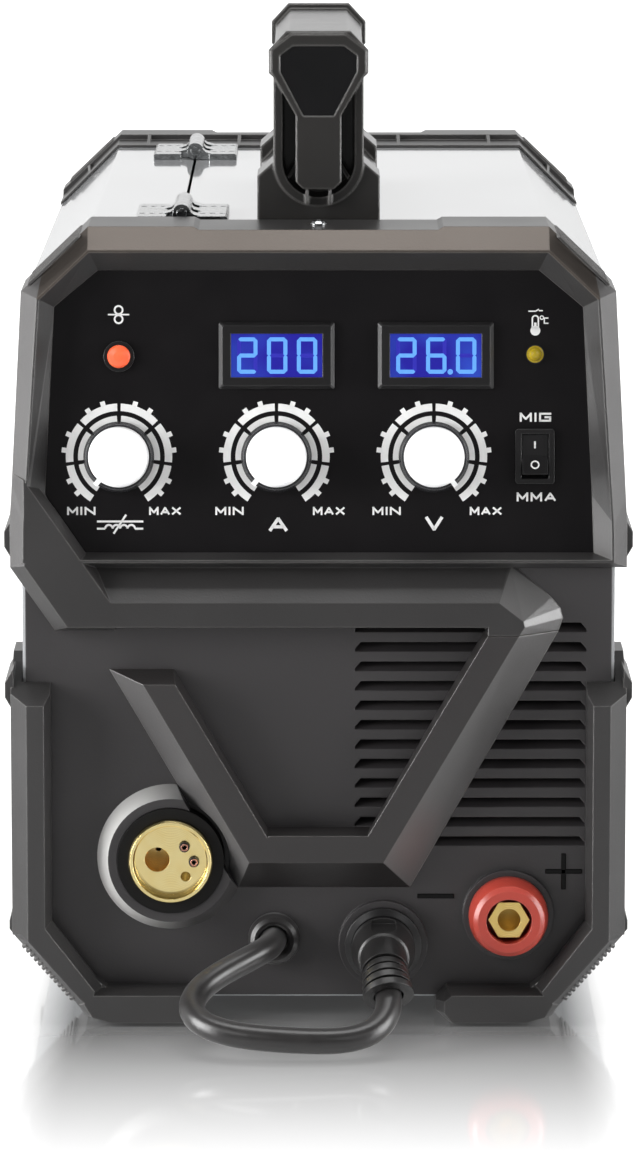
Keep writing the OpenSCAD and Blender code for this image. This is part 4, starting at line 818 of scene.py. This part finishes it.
# ---------------------------------------------------------------- wire feeder and spool hub
# Behind the door: a two-roll feeder on an insulating plate, its cast arm held down by a red
# tension knob, and a nylon hub for the wire spool on a steel spindle.
# Feeder nylon: bluish dark grey and matt; rolls: ground steel; arm: dull, coarse cast zinc.
feeder_nylon = moulded("feeder nylon", "26282b", "4a4d52", 0.42, 0.8, 0.03, 0.6)
dress(feeder_nylon, "feeder_plate", "spool_hub")
steel_roll = turned_metal("hardened steel", ("8c8d8e", "b4b5b6"), 0.2, (0, 0, 0))
dress(steel_roll, "drive_roll", "pressure_roll", "spool_spindle")
cast_zinc = moulded("die-cast zinc", "85878a", "c0c2c4", 0.4, 1.4, 0.04, 0.8)
dress(cast_zinc, "pressure_arm")
dress(red_nylon, "tension_knob")
# The motor is black with plated ends, and the gas valve has a black coil on a brass body.
MOTOR_MIDDLE = (-35, 38)   # the black part's ends, as x
COIL_BOTTOM = 74
dress(black_abs, "feed_motor", "gas_valve")
second_material("feed_motor", zinc_bright, lambda p, normal: not MOTOR_MIDDLE[0] <= p.x <= MOTOR_MIDDLE[1])
second_material("gas_valve", brass_plug, lambda p, normal: p.z < COIL_BOTTOM)


def cap_screw(size):
    """A socket head screw whose head stands on the origin's plane, size across the head."""
    head, chamfer, crown, rim, socket = (size * share for share in (0.6, 0.05, 0.04, 0.2, 0.34))
    screw = start("cylinder", "cap_screw", vertices=32, radius=size / 2, depth=head)
    apply_all(screw)
    screw.data.transform(Matrix.Translation((0, 0, head / 2)))
    choose_faces(screw, lambda c: c.z > head * 0.9)
    bpy.ops.mesh.inset(thickness=chamfer)
    bpy.ops.transform.translate(value=(0, 0, crown))
    bpy.ops.mesh.inset(thickness=rim)
    bpy.ops.mesh.extrude_region_move(TRANSFORM_OT_translate={"value": (0, 0, -socket)})
    bpy.ops.object.mode_set(mode="OBJECT")
    return screw


# Four screws hold the plate on its spacers.
PLATE_X = -40
to_the_left = Matrix.Rotation(radians(-90), 4, "Y")
plate_screws = []
for depth, z in ((72, 34), (168, 34), (72, 120), (168, 120)):
    spot = Matrix.Translation((PLATE_X / 1000, FRONT + depth / 1000, z / 1000))
    plate_screws.append(put(cap_screw(6), spot @ to_the_left))
fit_out(join("feeder_screws", plate_screws), "chassis", zinc_bright)

# ---------------------------------------------------------------- power electronics
# On the far side of the dividing wall: a transformer, extruded heat sinks and a board with its
# capacitors, screwed to the wall and the tray, and the backs of the front's rotary controls.
# Winding: turns of varnished copper wire in brown bands at the wire's pitch: painted shade between the turns
# and painted highlight on them.
WIRE_PITCH = 1.0
winding, tree, bsdf = new_material("varnished winding", IOR=1.5, Coat_Weight=0.4, Roughness=0.35)
coords = add_node(tree, "ShaderNodeTexCoord")
turns = add_node(tree, "ShaderNodeTexWave", [("Vector", coords.outputs["Object"])],
                 Scale=WAVE_PERIOD / WIRE_PITCH, bands_direction="Z")
two_tone(tree, bsdf, turns.outputs["Fac"], ("5e2c12", "8a4a22"))
dress(winding, "transformer")
# Core: dark steel whose stacked sheets show as fine level lines.
CORE_AXIS = (43, 211)      # the transformer's own axis, as x and depth
WINDING_RADIUS = 26.3
core_steel, tree, bsdf = new_material("stacked core steel", Metallic=0.8)
sheets = noise(tree, 0.8, 1, (0.05, 0.05, 1))
two_tone(tree, bsdf, sheets, ("4a4b4e", "77797c"), (0.4, 0.6))
bump(tree, bsdf, sheets, 0.06, 0.3)
second_material("transformer", core_steel,
                lambda p, normal: hypot(p.x - CORE_AXIS[0], p.y - CORE_AXIS[1]) > WINDING_RADIUS)
# Aluminium: silvery, with the die's lines along the depth.
aluminium, tree, bsdf = new_material("extruded aluminium", Metallic=1.0)
die_lines = noise(tree, 1, 2, (1, 0.03, 1))
two_tone(tree, bsdf, die_lines, ("aeb1b4", "cdd0d3"), (0.3, 0.45))
bump(tree, bsdf, die_lines, 0.02, 0.3)
dress(aluminium, "heat_sinks", "potentiometers")
# Board: glossy green solder mask; the capacitors on it wear dark blue sleeves and bare tops.
SLEEVE_FOOT = 120.2
SLEEVE_TOP = 161
board, tree, bsdf = new_material("solder mask", IOR=1.5, Coat_Weight=0.4, Roughness=0.3)
two_tone(tree, bsdf, noise(tree, 3, 4), ("164a2a", "246b40"))
dress(board, "main_board")
sleeve, tree, bsdf = new_material("heat-shrink sleeve", IOR=1.5, Coat_Weight=0.3, Roughness=0.28)
two_tone(tree, bsdf, noise(tree, 8), ("131b33", "1d2a4a"))
second_material("main_board", sleeve, lambda p, normal: p.z > SLEEVE_FOOT)
second_material("main_board", aluminium, lambda p, normal: p.z > SLEEVE_TOP)

# ---------------------------------------------------------------- studio
# A white polished floor and a white room behind it; the room is darker behind the camera, so
# that black film and brass have something dark to show.
FLOOR_DROP = 0.0005  # keeps the feet clear of the floor's plane
floor = start("plane", "floor", size=60, location=(0, 0, -FLOOR_DROP))
apply_all(floor)
floor_white, tree, bsdf = new_material("floor lacquer", IOR=1.6)
tree.links.new(bsdf.inputs["Roughness"], rescale(tree, noise(tree, 300), 0.05, 0.08))
ray = add_node(tree, "ShaderNodeLightPath")
# The camera sees the lacquer darker than the light bouncing off it does: painted shade, so that the
# machine's shadow and reflection show near it.
two_tone(tree, bsdf, ray.outputs["Is Camera Ray"], ("dcdcdc", "6a6a6a"))
# A painted glow, seen by the camera only, whitens the floor the further it is from the machine's outline.
# Distances are taken from a box that reaches OUTLINE from the origin, and SPREAD times as strong sideways.
SPREAD = (8, 1, 0)
OUTLINE = (0.78, 0.225, 0)    # metres, after the spread
coords = add_node(tree, "ShaderNodeTexCoord")
beyond = add_node(tree, "ShaderNodeVectorMath", [("Vector", coords.outputs["Object"])], operation="ABSOLUTE")
for operation, amount in (("MULTIPLY", SPREAD), ("SUBTRACT", OUTLINE), ("MAXIMUM", (0, 0, 0))):
    beyond = add_node(tree, "ShaderNodeVectorMath", [("Vector", beyond.outputs["Vector"])],
                      operation=operation)
    beyond.inputs[1].default_value = amount
away = add_node(tree, "ShaderNodeVectorMath", [("Vector", beyond.outputs["Vector"])], operation="LENGTH")
lift = add_node(tree, "ShaderNodeMath", operation="MULTIPLY")
whiter = rescale(tree, away.outputs["Value"], 0.04, 1.0, from_low=0.02, from_high=0.24)
tree.links.new(lift.inputs[0], whiter)
tree.links.new(lift.inputs[1], ray.outputs["Is Camera Ray"])
bsdf.inputs["Emission Color"].default_value = linear("ffffff")
tree.links.new(bsdf.inputs["Emission Strength"], lift.outputs["Value"])
floor.data.materials.append(floor_white)


def softbox(name, place, aim, width, height, watts):
    """A rectangular lamp that faces a point."""
    lamp = bpy.data.lights.new(name, "AREA")
    lamp.shape = "RECTANGLE"
    lamp.size = width
    lamp.size_y = height
    lamp.energy = watts
    holder = bpy.data.objects.new(name, lamp)
    holder.location = place
    holder.rotation_euler = (Vector(aim) - Vector(place)).to_track_quat("-Z", "Y").to_euler()
    bpy.context.scene.collection.objects.link(holder)


softbox("top box", (0, -0.3, 1.9), (0, -0.05, 0.3), 1.5, 0.7, 19)
softbox("left box", (-1.5, -0.7, 0.45), (0, -0.2, 0.12), 0.9, 1.0, 50)
softbox("right box", (1.6, -0.6, 0.45), (0, -0.2, 0.12), 0.9, 1.0, 32)
softbox("left front box", (-1.1, -2.2, 1.2), (0, -0.2, 0.15), 0.7, 0.9, 6)
softbox("right front box", (1.1, -2.2, 1.2), (0, -0.2, 0.15), 0.7, 0.9, 3)

# The room's light on matt surfaces, and what gloss shows of the room behind the camera and above.
AMBIENT = 0.17
ROOM_FRONT = 0.22
CEILING = 0.35
world = bpy.data.worlds.new("studio")
bpy.context.scene.world = world
world.use_nodes = True
tree = world.node_tree
tree.nodes.clear()
coords = add_node(tree, "ShaderNodeTexCoord")
axes = add_node(tree, "ShaderNodeSeparateXYZ", [("Vector", coords.outputs["Generated"])])
depthwise = rescale(tree, axes.outputs["Y"], ROOM_FRONT, 1.0, from_low=-0.6, from_high=0.3)
upwards = rescale(tree, axes.outputs["Z"], 1.0, CEILING, from_low=0.25, from_high=0.7)
room = add_node(tree, "ShaderNodeMath", operation="MULTIPLY")
tree.links.new(room.inputs[0], depthwise)
tree.links.new(room.inputs[1], upwards)
ray = add_node(tree, "ShaderNodeLightPath")
mirrored = add_node(tree, "ShaderNodeMath", operation="MAXIMUM")
tree.links.new(mirrored.inputs[0], ray.outputs["Is Glossy Ray"])
tree.links.new(mirrored.inputs[1], ray.outputs["Is Transmission Ray"])
seen = add_node(tree, "ShaderNodeMix", [("Factor", mirrored.outputs["Value"]), ("B", room.outputs["Value"])],
                A=AMBIENT)
level = add_node(tree, "ShaderNodeMix", [("Factor", ray.outputs["Is Camera Ray"]),
                                         ("A", seen.outputs["Result"])], B=1.0)
backdrop = add_node(tree, "ShaderNodeBackground", [("Strength", level.outputs["Result"])],
                    Color=(1, 1, 1, 1))
add_node(tree, "ShaderNodeOutputWorld", [("Surface", backdrop.outputs["Background"])])
bpy.context.scene.view_settings.view_transform = "Standard"
